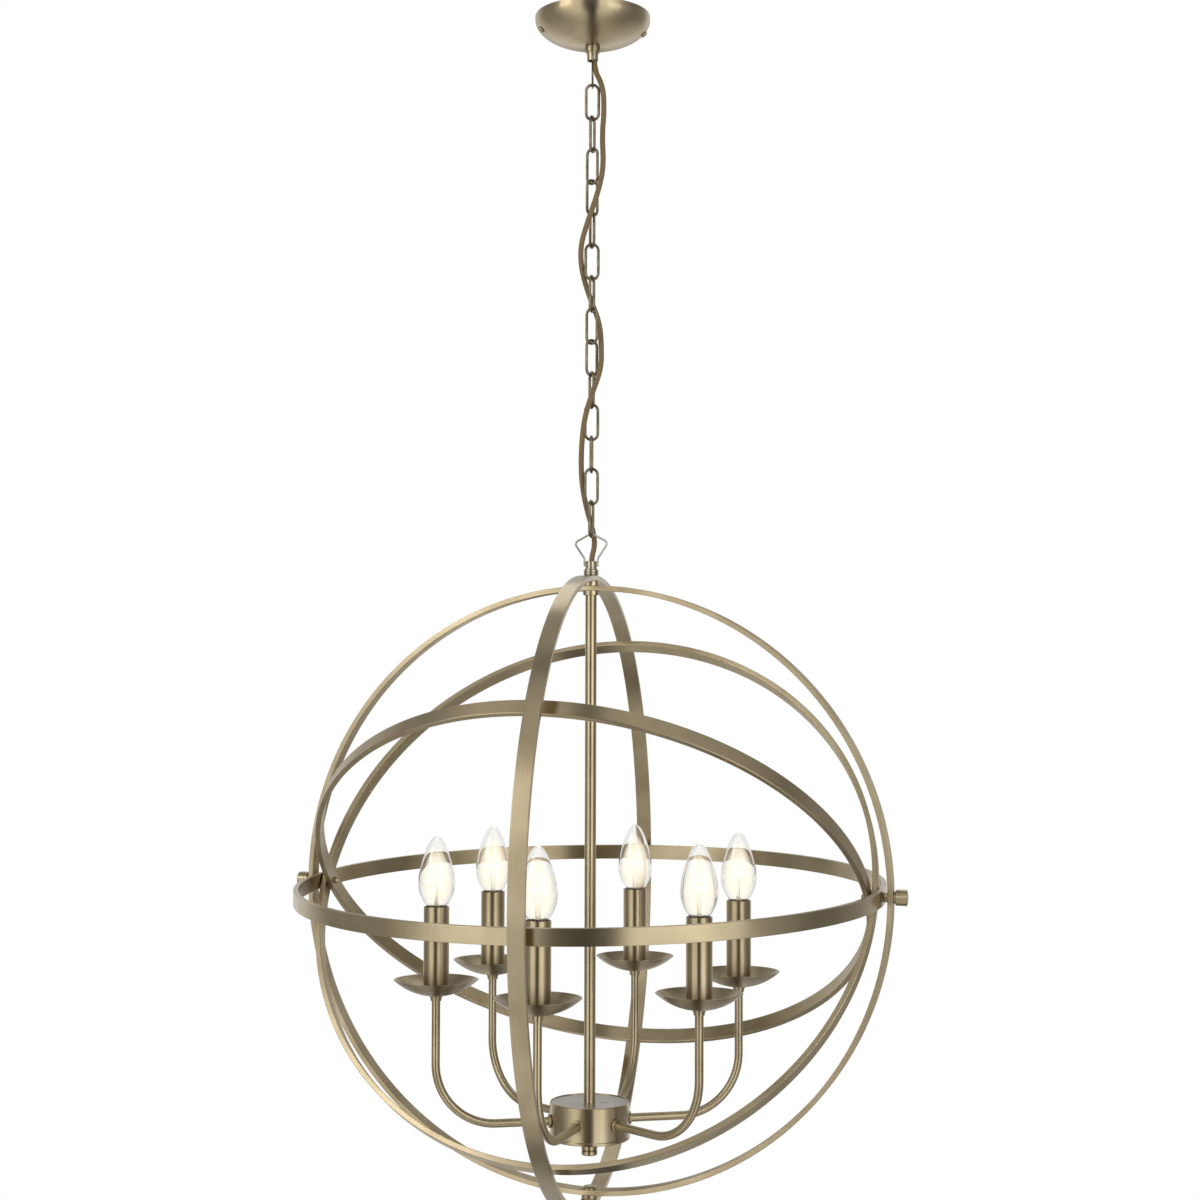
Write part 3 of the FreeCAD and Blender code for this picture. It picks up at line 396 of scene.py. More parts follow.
def rounded(points, radii, steps=10):
    """A path with its corners turned into arcs."""
    path = [Vector(points[0])]
    for before, corner, after, radius in zip(points, points[1:], points[2:], radii):
        before, corner, after = Vector(before), Vector(corner), Vector(after)
        back, ahead = (before - corner).normalized(), (after - corner).normalized()
        half = (math.pi - back.angle(ahead)) / 2
        start = corner + back * (radius * math.tan(half))
        centre = corner + (back + ahead).normalized() * (radius / math.cos(half))
        axis = (start - centre).cross(corner - start).normalized()
        for i in range(steps + 1):
            path.append(centre + Matrix.Rotation(2 * half * i / steps, 3, axis) @ (start - centre))
    path.append(Vector(points[-1]))
    return path


def set_at(form, matrix):
    """A form's points moved by a matrix in millimetres."""
    points, faces, uvs = form
    return [matrix @ Vector(p) for p in points], faces, uvs


def joined(forms):
    """Several forms as one."""
    points, faces, uvs = [], [], []
    for more_points, more_faces, more_uvs in forms:
        start = len(points)
        points += more_points
        faces += [[start + i for i in f] for f in more_faces]
        uvs += more_uvs
    return points, faces, uvs


def turn_x(degrees):
    return Matrix.Rotation(math.radians(degrees), 4, "X")


def turn_y(degrees):
    return Matrix.Rotation(math.radians(degrees), 4, "Y")


def turn_z(degrees):
    return Matrix.Rotation(math.radians(degrees), 4, "Z")


def lift(z):
    return Matrix.Translation((0, 0, z))


def at_candle(z=0.0):
    """The place of the candle on +X, at a height from the orb's centre."""
    return Matrix.Translation((CANDLE_CIRCLE, 0, z))


def each_candle(form):
    """Copies of a form made on +X, one at each candle."""
    return [set_at(form, lift(CENTRE) @ turn_z(turn)) for turn in CANDLE_TURNS]


def all_candles(form):
    """The same copies as one form."""
    return joined(each_candle(form))


def on_candle(outline, steps=64):
    """An outline turned about a candle's own axis."""
    return set_at(turned(eased(outline, EASE), steps), at_candle())


def piece(name, form, body, nodes, material, crease=CREASE):
    """An object that rides on a body and stands for CAD nodes."""
    obj = mesh(name, *form, crease=crease)
    obj.data.materials.append(material)
    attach(obj, body)
    if nodes:
        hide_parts(*nodes)


# ---- materials ----
def new_material(name):
    material = bpy.data.materials.new(name)
    material.use_nodes = True
    tree = material.node_tree
    return material, tree, tree.nodes["Principled BSDF"]


def feed(tree, made, inputs):
    """Set a node's inputs, each to a value or to another node's socket."""
    for key, value in inputs.items():
        if isinstance(value, bpy.types.NodeSocket):
            tree.links.new(value, made.inputs[key])
        else:
            made.inputs[key].default_value = value


def node(tree, kind, inputs=None, **settings):
    """A node with its settings and its inputs."""
    made = tree.nodes.new(kind)
    for key, value in settings.items():
        setattr(made, key, value)
    feed(tree, made, inputs or {})
    return made


def calc(tree, operation, *values):
    """The result of a math node, from numbers or sockets."""
    return node(tree, "ShaderNodeMath", dict(enumerate(values)), operation=operation).outputs[0]


def product(tree, first, second):
    """Two colours or vectors multiplied part by part."""
    made = node(tree, "ShaderNodeVectorMath", {0: first, 1: second}, operation="MULTIPLY")
    return made.outputs["Vector"]


def mixed(tree, share, first, second):
    """A shader that goes from the first node's to the second's as the share grows."""
    return node(tree, "ShaderNodeMixShader", {0: share, 1: first.outputs[0], 2: second.outputs[0]})


def ramp(tree, value, stops):
    """A colour ramp of (place, colour) stops."""
    made = node(tree, "ShaderNodeValToRGB", {"Fac": value})
    elements = made.color_ramp.elements
    while len(elements) < len(stops):
        elements.new(0.5)
    for element, (place, colour) in zip(elements, stops):
        element.position = place
        element.color = (*colour, 1)
    return made.outputs["Color"]


def grey(stops, start, end):
    """Stops of (value, brightness) for a ramp over values from start to end."""
    return [((value - start) / (end - start), (light,) * 3) for value, light in stops]


def brushed(name, tones, rough, along=(6.0, 70.0, 1.0), patina=26.0, by_uv=True, spun=0.92):
    """A satin metal: fine lines round the form, over a faint patina in three tones.

    along is how fine the lines are in each direction and patina how fine the patina is. spun is how
    far the lines spread a reflection, where they follow the form's own uvs.
    """
    light, middle, dark = tones
    material, tree, shader = new_material(name)
    place = node(tree, "ShaderNodeTexCoord")
    cloud = node(tree, "ShaderNodeTexNoise", {
        "Vector": place.outputs["Object"], "Scale": patina, "Detail": 2.0, "Roughness": 0.5,
    })
    source = place.outputs["UV" if by_uv else "Object"]
    lines_at = node(tree, "ShaderNodeMapping", {"Vector": source, "Scale": along})
    lines = node(tree, "ShaderNodeTexNoise", {
        "Vector": lines_at.outputs["Vector"], "Scale": 1.0, "Detail": 1.0,
    })
    both = node(tree, "ShaderNodeMix", {
        "Factor": 0.22, "A": cloud.outputs["Fac"], "B": lines.outputs["Fac"],
    }).outputs["Result"]
    gloss = node(tree, "ShaderNodeMapRange", {
        "Value": both, "From Min": 0.3, "From Max": 0.7, "To Min": rough + 0.02, "To Max": rough - 0.01,
    })
    bump = node(tree, "ShaderNodeBump", {
        "Strength": 0.02, "Distance": 0.0002, "Height": lines.outputs["Fac"],
    })
    feed(tree, shader, {
        "Base Color": ramp(tree, both, [(0.28, dark), (0.5, middle), (0.72, light)]),
        "Metallic": 1.0,
        "Roughness": gloss.outputs["Result"],
        "Normal": bump.outputs["Normal"],
    })
    if by_uv:
        # across the lines a reflection spreads, so stripes of light stay crisp round the form
        round_it = node(tree, "ShaderNodeTangent", direction_type="UV_MAP", uv_map="UVMap")
        feed(tree, shader, {
            "Tangent": round_it.outputs["Tangent"], "Anisotropic": spun, "Anisotropic Rotation": 0.25,
        })
    return material


def plastic(name, colour, rough):
    """A moulded plastic with a fine grain."""
    material, tree, shader = new_material(name)
    place = node(tree, "ShaderNodeTexCoord")
    fine = node(tree, "ShaderNodeTexNoise", {
        "Vector": place.outputs["Object"], "Scale": 1400.0, "Detail": 3.0,
    })
    dark = [c * 0.93 for c in colour]
    light = [min(1, c * 1.05) for c in colour]
    bump = node(tree, "ShaderNodeBump", {"Strength": 0.1, "Distance": 0.0001, "Height": fine.outputs["Fac"]})
    feed(tree, shader, {
        "Base Color": ramp(tree, fine.outputs["Fac"], [(0.3, dark), (0.7, light)]),
        "Roughness": rough,
        "Normal": bump.outputs["Normal"],
    })
    return material


def braid(name):
    """Woven cover: two sets of strands that cross, from the tube's own uvs. The threads' own colour runs down
    to painted shade, nearly black, in the weave's hollows.
    """
    material, tree, shader = new_material(name)
    place = node(tree, "ShaderNodeTexCoord")
    split = node(tree, "ShaderNodeSeparateXYZ", {"Vector": place.outputs["UV"]})
    slant = math.pi * BRAID_STRANDS / UV_PER_MM / BRAID_PITCH
    strands = []
    for way in (1, -1):
        across = calc(tree, "MULTIPLY", split.outputs["X"], math.pi * BRAID_STRANDS)
        along = calc(tree, "MULTIPLY", split.outputs["Y"], way * slant)
        strands.append(calc(tree, "SINE", calc(tree, "ADD", across, along)))
    weave = calc(tree, "MULTIPLY", *strands)
    height = node(tree, "ShaderNodeMapRange", {"Value": weave, "From Min": -1.0}).outputs["Result"]
    # the low end is painted shade in the hollows between strands; the middle and top are the threads' own
    # colour
    thread_tones_and_hollow_shade = [(0.0, (0.05, 0.028, 0.011)), (0.5, (0.2, 0.122, 0.045)), (1.0, (0.36, 0.255, 0.11))]
    bump = node(tree, "ShaderNodeBump", {"Strength": 0.7, "Distance": 0.0005, "Height": height})
    feed(tree, shader, {
        "Base Color": ramp(tree, height, thread_tones_and_hollow_shade),
        "Roughness": 0.62,
        "Sheen Weight": 0.1,
        "Normal": bump.outputs["Normal"],
    })
    return material


def clear_glass(name):
    """Clear glass that darkens where the eye looks along its wall, as at a bulb's outline."""
    material, tree, shader = new_material(name)
    feed(tree, shader, {
        "Base Color": (0.985, 0.98, 0.965, 1), "Transmission Weight": 1.0, "Roughness": 0.0, "IOR": 1.48,
    })
    depth = node(tree, "ShaderNodeVolumeAbsorption", {"Color": (0.5, 0.48, 0.44, 1), "Density": 70.0})
    feed(tree, tree.nodes["Material Output"], {"Volume": depth.outputs[0]})
    return material


def veil(name, tint):
    """One thin veil of a bulb's glow, which lets most of what is behind it through."""
    material, tree, shader = new_material(name)
    feed(tree, shader, {
        "Base Color": (0, 0, 0, 1), "Specular IOR Level": 0.0, "Alpha": GLOW_SHARE,
        "Emission Color": (*tint, 1), "Emission Strength": GLOW_LIGHT,
    })
    return material


def glowing(name, colour, strength):
    """A surface that gives light of its own."""
    material, tree, shader = new_material(name)
    feed(tree, shader, {
        "Base Color": (0.9, 0.6, 0.3, 1), "Emission Color": (*colour, 1), "Emission Strength": strength,
    })
    return material


def finishes():
    """Every finish, by name."""
    finish = {name: brushed(name, tones, rough, **more) for name, (tones, rough, more) in METALS.items()}
    finish["white_plastic"] = plastic("white_plastic", (0.8, 0.8, 0.77), 0.45)
    finish["dark_plastic"] = plastic("dark_plastic", (0.045, 0.04, 0.036), 0.4)
    finish["clear_glass"] = clear_glass("clear_glass")
    finish["hot_filament"] = glowing("hot_filament", (1.0, 0.62, 0.27), 60.0)
    finish["braid"] = braid("braid")
    return finish


# ---- forms ----
def hoop_form(radius, tilt, turn):
    """A flat hoop with eased edges, round the orb's centre."""
    half = HOOP_WIDTH / 2
    inner = radius - HOOP_GAUGE
    outline = eased([(inner, -half), (radius, -half), (radius, half), (inner, half)], HOOP_EDGE, 4)
    return set_at(turned(outline, 256), lift(CENTRE) @ turn_z(turn) @ turn_x(tilt))


def link_turns():
    """Each link's turn about Z: a steady twist, then even steps to a last link that suits the bail."""
    turns = [CHAIN_FACE + CHAIN_TWIST * i for i in range(STEADY_LINKS)]
    left = LINK_COUNT - STEADY_LINKS
    goal = turns[-1] + 90.0 * left
    last = 90.0 + 180.0 * round((goal - 90.0) / 180.0)
    step = (last - turns[-1]) / left
    return turns + [turns[-1] + step * (i + 1) for i in range(left)]


def link_form():
    """One link in the XZ plane, the middle of its top wire at z 0."""
    bend, steps = LINK_WIDTH / 2, 24
    path = []
    for centre, start in ((-bend, 0), (bend - LINK_SPAN, 180)):
        for i in range(steps + 1):
            a = math.radians(start + 180 * i / steps)
            path.append(Vector((bend * math.cos(a), 0, centre + bend * math.sin(a))))
    return tube(path, LINK_WIRE / 2, 18, closed=True)


def bail_form():
    """The spade-shaped loop, its hooks on the X axis at z 0 and its tip up."""
    hook, leg, wide = 3.8, 6.7, 17.0
    straight, shoulder, rise = 7.0, 22.5, 31.0
    hook_bend, leg_bend, shoulder_bend, tip_bend = 1.1, 5.0, 3.6, 4.0
    flank = math.hypot(wide, rise - shoulder)
    peak = rise + tip_bend * (flank / wide - 1)
    right = [(hook, 0, 0), (leg, 0, 0), (leg, 0, straight), (wide, 0, shoulder)]
    left = [(-x, y, z) for x, y, z in reversed(right)]
    bends = [hook_bend, leg_bend, shoulder_bend]
    path = rounded(right + [(0, 0, peak)] + left, bends + [tip_bend] + bends[::-1])
    return tube(path, BAIL_WIRE / 2, 16)


def canopy_outline():
    """The dome's wall, outer side from the rim down and inner side back up."""
    steps = 24

    def dome(inset):
        wide, deep = CANOPY_RADIUS - inset, -CANOPY_FOOT - CANOPY_RIM - inset
        angles = [math.radians(90 * i / steps) for i in range(steps + 1)]
        return [(wide * math.cos(t), -CANOPY_RIM - deep * math.sin(t)) for t in angles]

    outer, inner = dome(0.0), dome(CANOPY_WALL)
    top = [(CANOPY_RADIUS - CANOPY_WALL, 0), (CANOPY_RADIUS, 0)]
    foot = [(CANOPY_BORE, CANOPY_FOOT), (CANOPY_BORE, CANOPY_FOOT + CANOPY_WALL)]
    return top + outer[:-1] + foot + inner[-2::-1]


def gallery_outline():
    """The turned fitting, foot at 0 and neck up: a grooved foot, a waist and a neck."""
    foot = [(GALLERY_BORE, 0), (6.5, 0), (7.2, 0.7), (7.2, 2.3), (6.8, 2.75), (7.2, 3.2), (7.2, 5.0)]
    waist = [(6.7, 5.5), (6.2, 5.5), (6.2, 6.7), (5.4, 6.9), (5.4, 13.2)]
    neck = [(4.9, GALLERY_HEIGHT), (GALLERY_BORE, GALLERY_HEIGHT)]
    return foot + waist + neck


def stem_form():
    """The tube from the fitting on top of the orb down into the nut under the drum."""
    low = HUB_BOTTOM - STEM_ENTRY
    outline = [(STEM_BORE, low), (STEM_RADIUS, low), (STEM_RADIUS, STEM_TOP), (STEM_BORE, STEM_TOP)]
    return set_at(turned(eased(outline, 0.2), 64), lift(CENTRE))


def hub_form():
    """The drum's wall and floor, with a bead round its foot, open at the top."""
    low, high, inner = HUB_BOTTOM, HUB_TOP, HUB_RADIUS - HUB_WALL
    edge, bead = 0.8, HUB_RADIUS + 0.8
    outline = [
        (STEM_RADIUS, low), (HUB_RADIUS, low), (bead, low + 0.8), (bead, low + 2.4), (HUB_RADIUS, low + 3.2),
        (HUB_RADIUS, high - edge), (HUB_RADIUS - edge, high), (inner, high), (inner, low + HUB_WALL),
        (STEM_RADIUS, low + HUB_WALL),
    ]
    return set_at(turned(eased(outline, EASE), 128), lift(CENTRE))


def finial_form():
    """The long nut under the drum, with a groove round its side and a chamfer round its foot."""
    top, low, r = HUB_BOTTOM, HUB_BOTTOM - FINIAL_LENGTH, FINIAL_RADIUS
    cut, groove = 0.9, low + 4.9
    outline = [
        (STEM_RADIUS, top), (r, top), (r, groove + cut), (r - cut, groove), (r, groove - cut), (r, low + cut),
        (r - cut, low), (0, low), (0, top - STEM_ENTRY), (STEM_RADIUS, top - STEM_ENTRY),
    ]
    return set_at(turned(eased(outline, EASE), 64), lift(CENTRE))


def knob_form(side):
    """The knob on the left pin, side -1, or the right one: a neck, a grooved grip and a closed end."""
    end, neck, r = KNOB_FACE + KNOB_LENGTH, KNOB_FACE + 1.6, KNOB_RADIUS
    pin, neck_radius, edge = 2.56, 5.6, 0.8
    hole, groove = end - 4.1, neck + 3.4
    outline = [
        (pin, KNOB_FACE), (neck_radius, KNOB_FACE), (neck_radius, neck), (r - edge, neck), (r, neck + edge),
        (r, groove - 0.4), (r - 0.45, groove), (r, groove + 0.4), (r, end - edge), (r - edge, end), (0, end),
        (0, hole), (pin, hole),
    ]
    return set_at(turned(eased(outline, 0.35), 64), lift(CENTRE) @ turn_y(90 * side))


def arm_form():
    """One bent arm, from inside the drum to its end inside the dish."""
    corner, end = (CANDLE_CIRCLE, 0, ARM_Z), (CANDLE_CIRCLE, 0, PAN_BOTTOM + ARM_RISE)
    return tube(rounded([(ARM_START, 0, ARM_Z), corner, end], [ARM_BEND], 28), ARM_RADIUS, 20)


def collar_form():
    """The collar round an arm, on the drum's side."""
    low, high = HUB_RADIUS, HUB_RADIUS + COLLAR_LENGTH
    outline = [(ARM_RADIUS, low), (COLLAR_RADIUS, low), (COLLAR_RADIUS, high), (ARM_RADIUS, high)]
    return set_at(turned(eased(outline, 0.5), 40), lift(ARM_Z) @ turn_y(90))


def seat_form():
    """The flared cup under a dish."""
    flare = [(ARM_RADIUS, -6.0), (5.0, -6.0), (5.3, -4.0), (5.9, -2.4), (7.4, 0.0), (ARM_RADIUS, 0.0)]
    return on_candle([(r, PAN_BOTTOM + z) for r, z in flare])


def pan_form():
    """A dish: its floor, a flank on a sphere, the rim, and back inside."""
    centre = (PAN_RADIUS**2 - PAN_FLOOR_RADIUS**2 + PAN_DEPTH**2) / (2 * PAN_DEPTH)
    sphere = math.hypot(PAN_FLOOR_RADIUS, centre)
    steps = 14

    def flank(size, start, end):
        radii = [start + (end - start) * i / steps for i in range(steps + 1)]
        return [(r, centre - math.sqrt(size**2 - r**2)) for r in radii]

    inner_edge = math.sqrt((sphere - PAN_WALL) ** 2 - (centre - PAN_DEPTH) ** 2)
    inner_floor = math.sqrt((sphere - PAN_WALL) ** 2 - (centre - PAN_WALL) ** 2)
    outer = flank(sphere, PAN_FLOOR_RADIUS, PAN_RADIUS)
    inner = flank(sphere - PAN_WALL, inner_edge, inner_floor)
    outline = [(ARM_RADIUS, 0)] + outer + inner + [(ARM_RADIUS, PAN_WALL)]
    return set_at(turned(eased(outline, 0.4), 96), at_candle(PAN_BOTTOM))


def sleeve_form():
    """The tube that stands in a dish like a candle."""
    inner, outer = SLEEVE_RADIUS - SLEEVE_WALL, SLEEVE_RADIUS
    low, high = PAN_BOTTOM + PAN_WALL, SLEEVE_TOP
    return on_candle([(inner, low), (outer, low), (outer, high), (inner, high)], 80)


def bulb_side(inset):
    """A candle bulb's smooth side, from its neck to its tip, as (radius, height above the sleeve)."""
    wide, neck, high = BULB_RADIUS - inset, NECK_RADIUS - inset, BULB_HEIGHT - inset
    keys = [
        (neck, -NECK_DROP), (neck, -NECK_DROP / 4),
        (wide * 0.66, BULB_HEIGHT * 0.05), (wide * 0.93, BULB_HEIGHT * 0.2), (wide, BULB_HEIGHT * 0.35),
        (wide * 0.9, BULB_HEIGHT * 0.54), (wide * 0.63, BULB_HEIGHT * 0.78),
        (wide * 0.4, high * 0.915), (wide * 0.19, high * 0.983), (0.0, high),
    ]
    steps, side = 6, []
    for i in range(len(keys) - 1):
        p0, p1, p2, p3 = (Vector(keys[min(max(j, 0), len(keys) - 1)]) for j in (i - 1, i, i + 1, i + 2))
        for k in range(steps):
            t = k / steps
            q = p1 * 2 + (p2 - p0) * t + (p0 * 2 - p1 * 5 + p2 * 4 - p3) * t**2
            q = (q + (p1 * 3 - p0 - p2 * 3 + p3) * t**3) / 2
            side.append((max(q.x, 0.0), q.y))
    return side + [keys[-1]]


def bulb_form():
    """The bulb's glass, hollow and open at the neck."""
    outer, hollow = bulb_side(0.0), bulb_side(BULB_WALL)
    return set_at(turned(outer + hollow[::-1], 64), at_candle(SLEEVE_TOP))


def lead_form():
    """The two wires that carry a bulb's coil."""
    foot, top = SLEEVE_TOP - NECK_DROP, SLEEVE_TOP + COIL_HEIGHT
    bends = [(2.0, foot), (2.4, foot + 12), (4.5, top)]
    paths = [[Vector((CANDLE_CIRCLE, side * y, z)) for y, z in bends] for side in (-1, 1)]
    return joined([tube(path, LEAD_WIRE, 8) for path in paths])


def coil_form():
    """A bulb's coil, level and across the view from the stem."""
    turns, steps = 9, 12
    middle, path = SLEEVE_TOP + COIL_HEIGHT, []
    for i in range(turns * steps + 1):
        a = 2 * math.pi * i / steps
        y = COIL_LENGTH * i / (turns * steps) - COIL_LENGTH / 2
        x, z = CANDLE_CIRCLE + COIL_RADIUS * math.cos(a), middle + COIL_RADIUS * math.sin(a)
        path.append(Vector((x, y, z)))
    return tube(path, COIL_WIRE, 6)


def mount_form():
    """The glass stem between a bulb's wires."""
    foot = SLEEVE_TOP - NECK_DROP
    return on_candle([(r, foot + z) for r, z in ((0, 0), (3.2, 0), (2.0, 8), (1.3, 20), (0, 21))], 24)


def glow_form(size):
    """A flame-shaped veil round one bulb's coil, size 1 nearly filling the glass."""
    middle, half, wide, steps = SLEEVE_TOP + GLOW_MIDDLE, GLOW_HALF * size, GLOW_RADIUS * size, 20
    outline = []
    for i in range(steps + 1):
        a = math.pi * i / steps
        r = wide * math.sin(a) * (1 + GLOW_LEAN * math.cos(a))
        outline.append((max(r, 0.0), middle - half * math.cos(a)))
    return set_at(turned(outline, 40, closed=False), at_candle())


# ---- the flex ----
def flex_points():
    """Points along the route's own smooth line."""
    curve = bpy.data.curves.new("flex_route", "CURVE")
    curve.dimensions = "3D"
    curve.resolution_u = 10
    spline = curve.splines.new("NURBS")
    spline.points.add(len(FLEX_ROUTE) - 1)
    for point, (turn, reach, depth) in zip(spline.points, FLEX_ROUTE):
        a = math.radians(CHAIN_FACE - turn)
        point.co = (reach * math.cos(a), reach * math.sin(a), -depth, 1)
    spline.order_u = 3
    spline.use_endpoint_u = True
    holder = bpy.data.objects.new("flex_route", curve)
    bpy.context.scene.collection.objects.link(holder)
    bpy.context.view_layer.update()
    line = bpy.data.meshes.new_from_object(holder)
    points = [v.co.copy() for v in line.vertices]
    bpy.data.objects.remove(holder)
    return points


def flex_spans(material):
    """The flex in lengths, each running across one joint of the chain."""
    pivots = [TOP_PIVOT - BAIL_INSET, TOP_TIP]
    pivots += [FIRST_LINK - i * LINK_PITCH - LINK_SPAN for i in range(LINK_COUNT)]
    pivots.append(ORB_BAIL_PIVOT + BAIL_INSET)
    cuts = [(a + b) / 2 for a, b in zip(pivots, pivots[1:])]
    points = flex_points()
    whole, faces, uvs = tube(points, FLEX_RADIUS, FLEX_SIDES)
    ends = [0] + [min(i for i, p in enumerate(points) if p.z <= cut) for cut in cuts] + [len(points) - 1]
    for k, (first, last) in enumerate(zip(ends, ends[1:])):
        low, high = first * FLEX_SIDES, last * FLEX_SIDES
        part = whole[low:high + FLEX_SIDES]
        span_faces = [[v - low for v in faces[f]] for f in range(low, high)]
        span_uvs = uvs[4 * low:4 * high]
        obj = mesh("flex_%02d" % (k + 1), part, span_faces, span_uvs, WIRE_CREASE)
        obj.data.materials.append(material)
        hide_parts("flex")
        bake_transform(obj)


# ---- studio ----
def ray_kinds(tree):
    """Whether metal's gloss asks, and whether the eye does, straight or through glass."""
    rays = node(tree, "ShaderNodeLightPath")
    seen = calc(tree, "MAXIMUM", rays.outputs["Is Camera Ray"], rays.outputs["Is Transmission Ray"])
    return rays.outputs["Is Glossy Ray"], seen


def round_about(tree, direction, stops):
    """The direction's parts as seen from the front, and the brightness of that side."""
    facing = node(tree, "ShaderNodeVectorRotate", {"Vector": direction, "Angle": math.radians(-FRONT)},
                  rotation_type="Z_AXIS")
    part = node(tree, "ShaderNodeSeparateXYZ", {"Vector": facing.outputs[0]})
    turn = calc(tree, "ARCTAN2", part.outputs["Y"], part.outputs["X"])
    share = node(tree, "ShaderNodeMapRange", {"Value": turn, "From Min": -math.pi, "From Max": math.pi})
    return part, ramp(tree, share.outputs["Result"], grey(stops, -180, 180))


def surroundings(tree):
    """What metal reflects above the floor: soft boxes to either side of a dark gap, less light overhead."""
    place = node(tree, "ShaderNodeTexCoord")
    part, sides = round_about(tree, place.outputs["Generated"], ROUND_ABOUT)
    height = node(tree, "ShaderNodeMapRange", {"Value": part.outputs["Z"], "From Min": -1.0, "From Max": 1.0})
    return product(tree, sides, ramp(tree, height.outputs["Result"], grey(OVERHEAD, -1, 1)))


def backdrop(scene):
    """A world that is white to the eye, plain light on matt surfaces and soft boxes in metal."""
    scene.world = bpy.data.worlds.new("studio")
    scene.world.use_nodes = True
    tree = scene.world.node_tree
    tree.nodes.clear()
    plain = node(tree, "ShaderNodeBackground", {"Color": WHITE, "Strength": ROOM_LIGHT})
    room = node(tree, "ShaderNodeBackground", {"Color": surroundings(tree), "Strength": SOFT_BOX})
    white = node(tree, "ShaderNodeBackground", {"Color": WHITE, "Strength": 1.0})
    glossy, seen = ray_kinds(tree)
    shown = mixed(tree, seen, mixed(tree, glossy, plain, room), white)
    node(tree, "ShaderNodeOutputWorld", {"Surface": shown.outputs[0]})


def pale_floor():
    """A floor that keeps the object's shadow near its middle and runs into the backdrop further out. To
    metal's reflections it shows painted light: a glow, brighter to some sides, with a painted dark strip.
    """
    corners = [(x * FLOOR_HALF, y * FLOOR_HALF, FLOOR_LEVEL) for x, y in ((-1, -1), (1, -1), (1, 1), (-1, 1))]
    floor = mesh("floor", corners, [[0, 1, 2, 3]])
    material, tree, shader = new_material("pale_floor")
    feed(tree, shader, {"Base Color": FLOOR_COLOUR, "Roughness": 0.9})
    place = node(tree, "ShaderNodeNewGeometry").outputs["Position"]
    level = product(tree, place, (1, 1, 0))
    far = node(tree, "ShaderNodeVectorMath", {0: level}, operation="LENGTH").outputs["Value"]
    fade = node(tree, "ShaderNodeMapRange", {
        "Value": far, "From Min": FLOOR_FADE[0], "From Max": FLOOR_FADE[1],
    })
    glossy, seen = ray_kinds(tree)
    bright = node(tree, "ShaderNodeEmission", {"Color": WHITE, "Strength": 1.0})
    plain = mixed(tree, calc(tree, "MULTIPLY", fade.outputs["Result"], seen), shader, bright)
    # painted light on the floor that only metal sees: a glow by direction round the object, with a painted
    # dark strip along its middle line
    part, sides = round_about(tree, place, FLOOR_ABOUT)
    painted_dark_strip = node(tree, "ShaderNodeMapRange", {
        "Value": calc(tree, "ABSOLUTE", part.outputs["Y"]),
        "From Min": FLOOR_STRIP[0], "From Max": FLOOR_STRIP[1], "To Min": STRIP_LIGHT,
    })
    painted_floor_glow = product(tree, sides, painted_dark_strip.outputs["Result"])
    # the floor glows with this painted light, and only glossy rays see it
    room = node(tree, "ShaderNodeEmission", {"Color": painted_floor_glow, "Strength": FLOOR_LIGHT})
    shown = mixed(tree, glossy, plain, room)
    feed(tree, tree.nodes["Material Output"], {"Surface": shown.outputs[0]})
    floor.data.materials.append(material)


def lamps(scene):
    """Soft lamps, turned to the orb's centre."""
    middle = Vector((0, 0, CENTRE * MM))
    for name, place, size, watts in LAMPS:
        light = bpy.data.lights.new(name, "AREA")
        light.size = size
        light.energy = watts
        lamp = bpy.data.objects.new(name, light)
        lamp.location = place
        lamp.rotation_euler = (middle - Vector(place)).to_track_quat("-Z", "Y").to_euler()
        scene.collection.objects.link(lamp)


def camera(scene):
    """The camera where the photograph was taken from."""
    yaw, pitch, roll = (math.radians(a) for a in (CAMERA_YAW, CAMERA_PITCH, CAMERA_ROLL))
    forward = Vector((-math.sin(yaw) * math.cos(pitch), math.cos(yaw) * math.cos(pitch), math.sin(pitch)))
    level = Vector((math.cos(yaw), math.sin(yaw), 0))
    up = level.cross(forward)
    right = level * math.cos(roll) + up * math.sin(roll)
    up = right.cross(forward)
    data = bpy.data.cameras.new("camera")
    data.lens = LENS
    data.sensor_width = SENSOR
    data.shift_y = SHIFT_Y
    obj = bpy.data.objects.new("camera", data)
    frame = Matrix((right, up, -forward)).transposed().to_4x4()
    obj.matrix_world = Matrix.Translation(Vector(CAMERA) * MM) @ frame
    scene.collection.objects.link(obj)
    bpy.context.scene.camera = obj


def studio():
    """The white backdrop, the floor, the lamps and the camera."""
    scene = bpy.context.scene
    scene.view_settings.view_transform = "Standard"
    backdrop(scene)
    pale_floor()
    lamps(scene)
    camera(scene)


# ---- the chandelier ----
def brass_piece(finish, name, form, body, nodes, kind="antique_brass", crease=CREASE):
    """A piece in one of the brass finishes."""
    piece(name, form, body, nodes, finish[kind], crease)


def hoops(finish):
    for name, (radius, body, tilt, turn) in HOOPS.items():
        brass_piece(finish, "ring_" + name, hoop_form(radius, tilt, turn), body, [name])


def chain(finish):
    """The links, the bail at each end and the flex that winds round them."""
    link = link_form()
    for i, turn in enumerate(link_turns()):
        name = "chain_link_%02d" % (i + 1)
        form = set_at(link, lift(FIRST_LINK - i * LINK_PITCH) @ turn_z(turn))
        brass_piece(finish, "wire_" + name, form, name, [name], "olive_brass", WIRE_CREASE)
    bail = bail_form()
    upper = set_at(bail, lift(TOP_PIVOT) @ turn_z(CHAIN_FACE + 90) @ turn_x(180))
    lower = set_at(bail, lift(ORB_BAIL_PIVOT))
    for body, form, kind in (("canopy_bail", upper, "dark_nickel"), ("orb_bail", lower, "satin_nickel")):
        piece("loop_" + body, form, body, [body], finish[kind], WIRE_CREASE)
    flex_spans(finish["braid"])


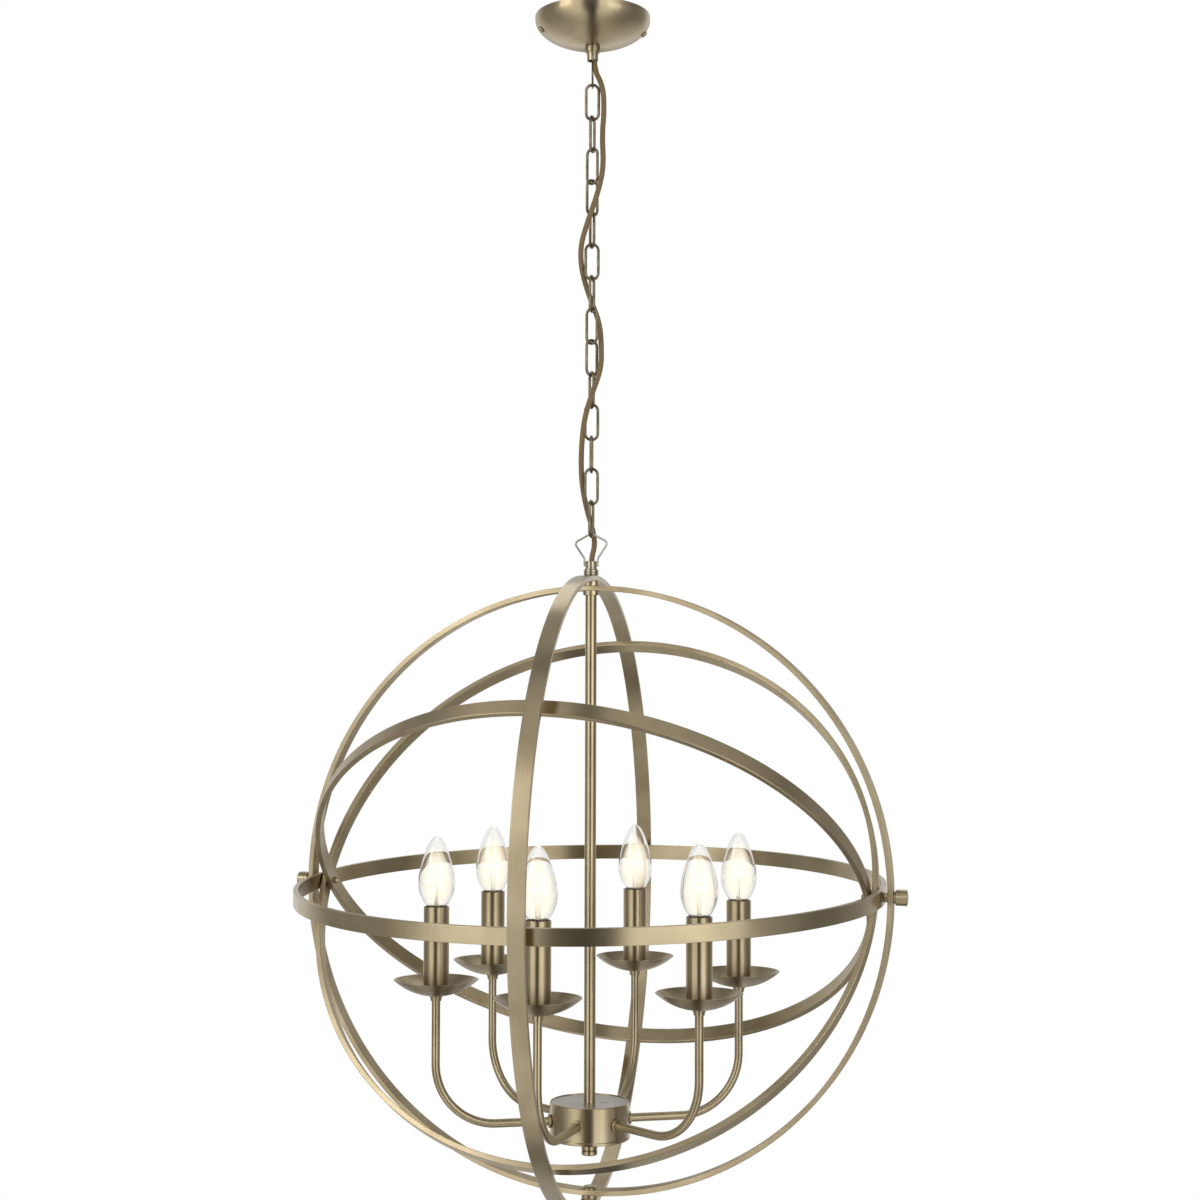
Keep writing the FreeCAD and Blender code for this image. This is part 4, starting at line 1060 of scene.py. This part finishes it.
def canopy(finish):
    """The dome, and the turned fittings above and below the chain."""
    brass_piece(finish, "spun_canopy", turned(canopy_outline(), 160), "ceiling_fitting", ["canopy"])
    fitting = turned(eased(gallery_outline(), 0.25), 64)
    above = set_at(fitting, lift(GALLERY_FOOT))
    under = set_at(fitting, lift(CANOPY_FOOT) @ turn_x(180))
    brass_piece(finish, "turned_orb_gallery", above, "orb", ["orb_gallery"], "turned_brass")
    brass_piece(finish, "turned_canopy_gallery", under, "ceiling_fitting", [], "turned_brass")


def stem_and_hub(finish):
    """The stem, the knobs at the sides, and the drum with its nut."""
    brass_piece(finish, "tube_stem", stem_form(), "orb", ["stem"], "drawn_brass")
    for side, name in ((-1, "knob_left"), (1, "knob_right")):
        brass_piece(finish, "turned_" + name, knob_form(side), name, [name])
    brass_piece(finish, "drum_hub", hub_form(), "orb", ["hub_body"])
    brass_piece(finish, "turned_finial", finial_form(), "orb", ["finial_nut"])


def arms_and_candles(finish):
    """The arms with their collars and seats, the dishes and the sleeves."""
    brass_piece(finish, "bent_arms", all_candles(arm_form()), "orb", ["arms"], "drawn_brass", BEND_CREASE)
    brass_piece(finish, "turned_arm_collars", all_candles(collar_form()), "orb", ["arm_collars"])
    brass_piece(finish, "turned_pan_seats", all_candles(seat_form()), "orb", ["pan_seats"])
    for i, (pan, sleeve) in enumerate(zip(each_candle(pan_form()), each_candle(sleeve_form()))):
        brass_piece(finish, "dish_%d" % (i + 1), pan, "orb", ["drip_pan_%d" % (i + 1)], "dish_brass")
        brass_piece(finish, "tube_sleeve_%d" % (i + 1), sleeve, "orb", ["candle_sleeve_%d" % (i + 1)])


def bulbs(finish):
    """The bulbs' glass, wires, coils and glass stems, and the veils of their glow."""
    glass, nickel, hot = finish["clear_glass"], finish["satin_nickel"], finish["hot_filament"]
    blown = all_candles(bulb_form())
    piece("blown_bulbs", blown, "orb", ["bulb_glasses"], glass, GLASS_CREASE)
    piece("bulb_leads", all_candles(lead_form()), "orb", [], nickel)
    piece("bulb_coils", all_candles(coil_form()), "orb", ["filaments"], hot, WIRE_CREASE)
    piece("bulb_mounts", all_candles(mount_form()), "orb", [], glass, BEND_CREASE)
    for i, (size, tint) in enumerate(GLOW):
        name = "glow_%d" % (i + 1)
        form = all_candles(glow_form(size))
        piece("bulb_" + name, form, "orb", [], veil(name, tint), WIRE_CREASE)


def kept_nodes(nodes, finish):
    """A better material on each CAD node that keeps its shape."""
    for kind, names in KEPT_NODES.items():
        for name in names:
            obj = nodes[name]
            obj.data.materials.clear()
            obj.data.materials.append(finish[kind])
            smooth(obj, CAD_CREASE)


def main():
    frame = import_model()
    studio()
    finish = finishes()
    hoops(finish)
    chain(finish)
    canopy(finish)
    stem_and_hub(finish)
    arms_and_candles(finish)
    bulbs(finish)
    kept_nodes(frame["nodes"], finish)


main()
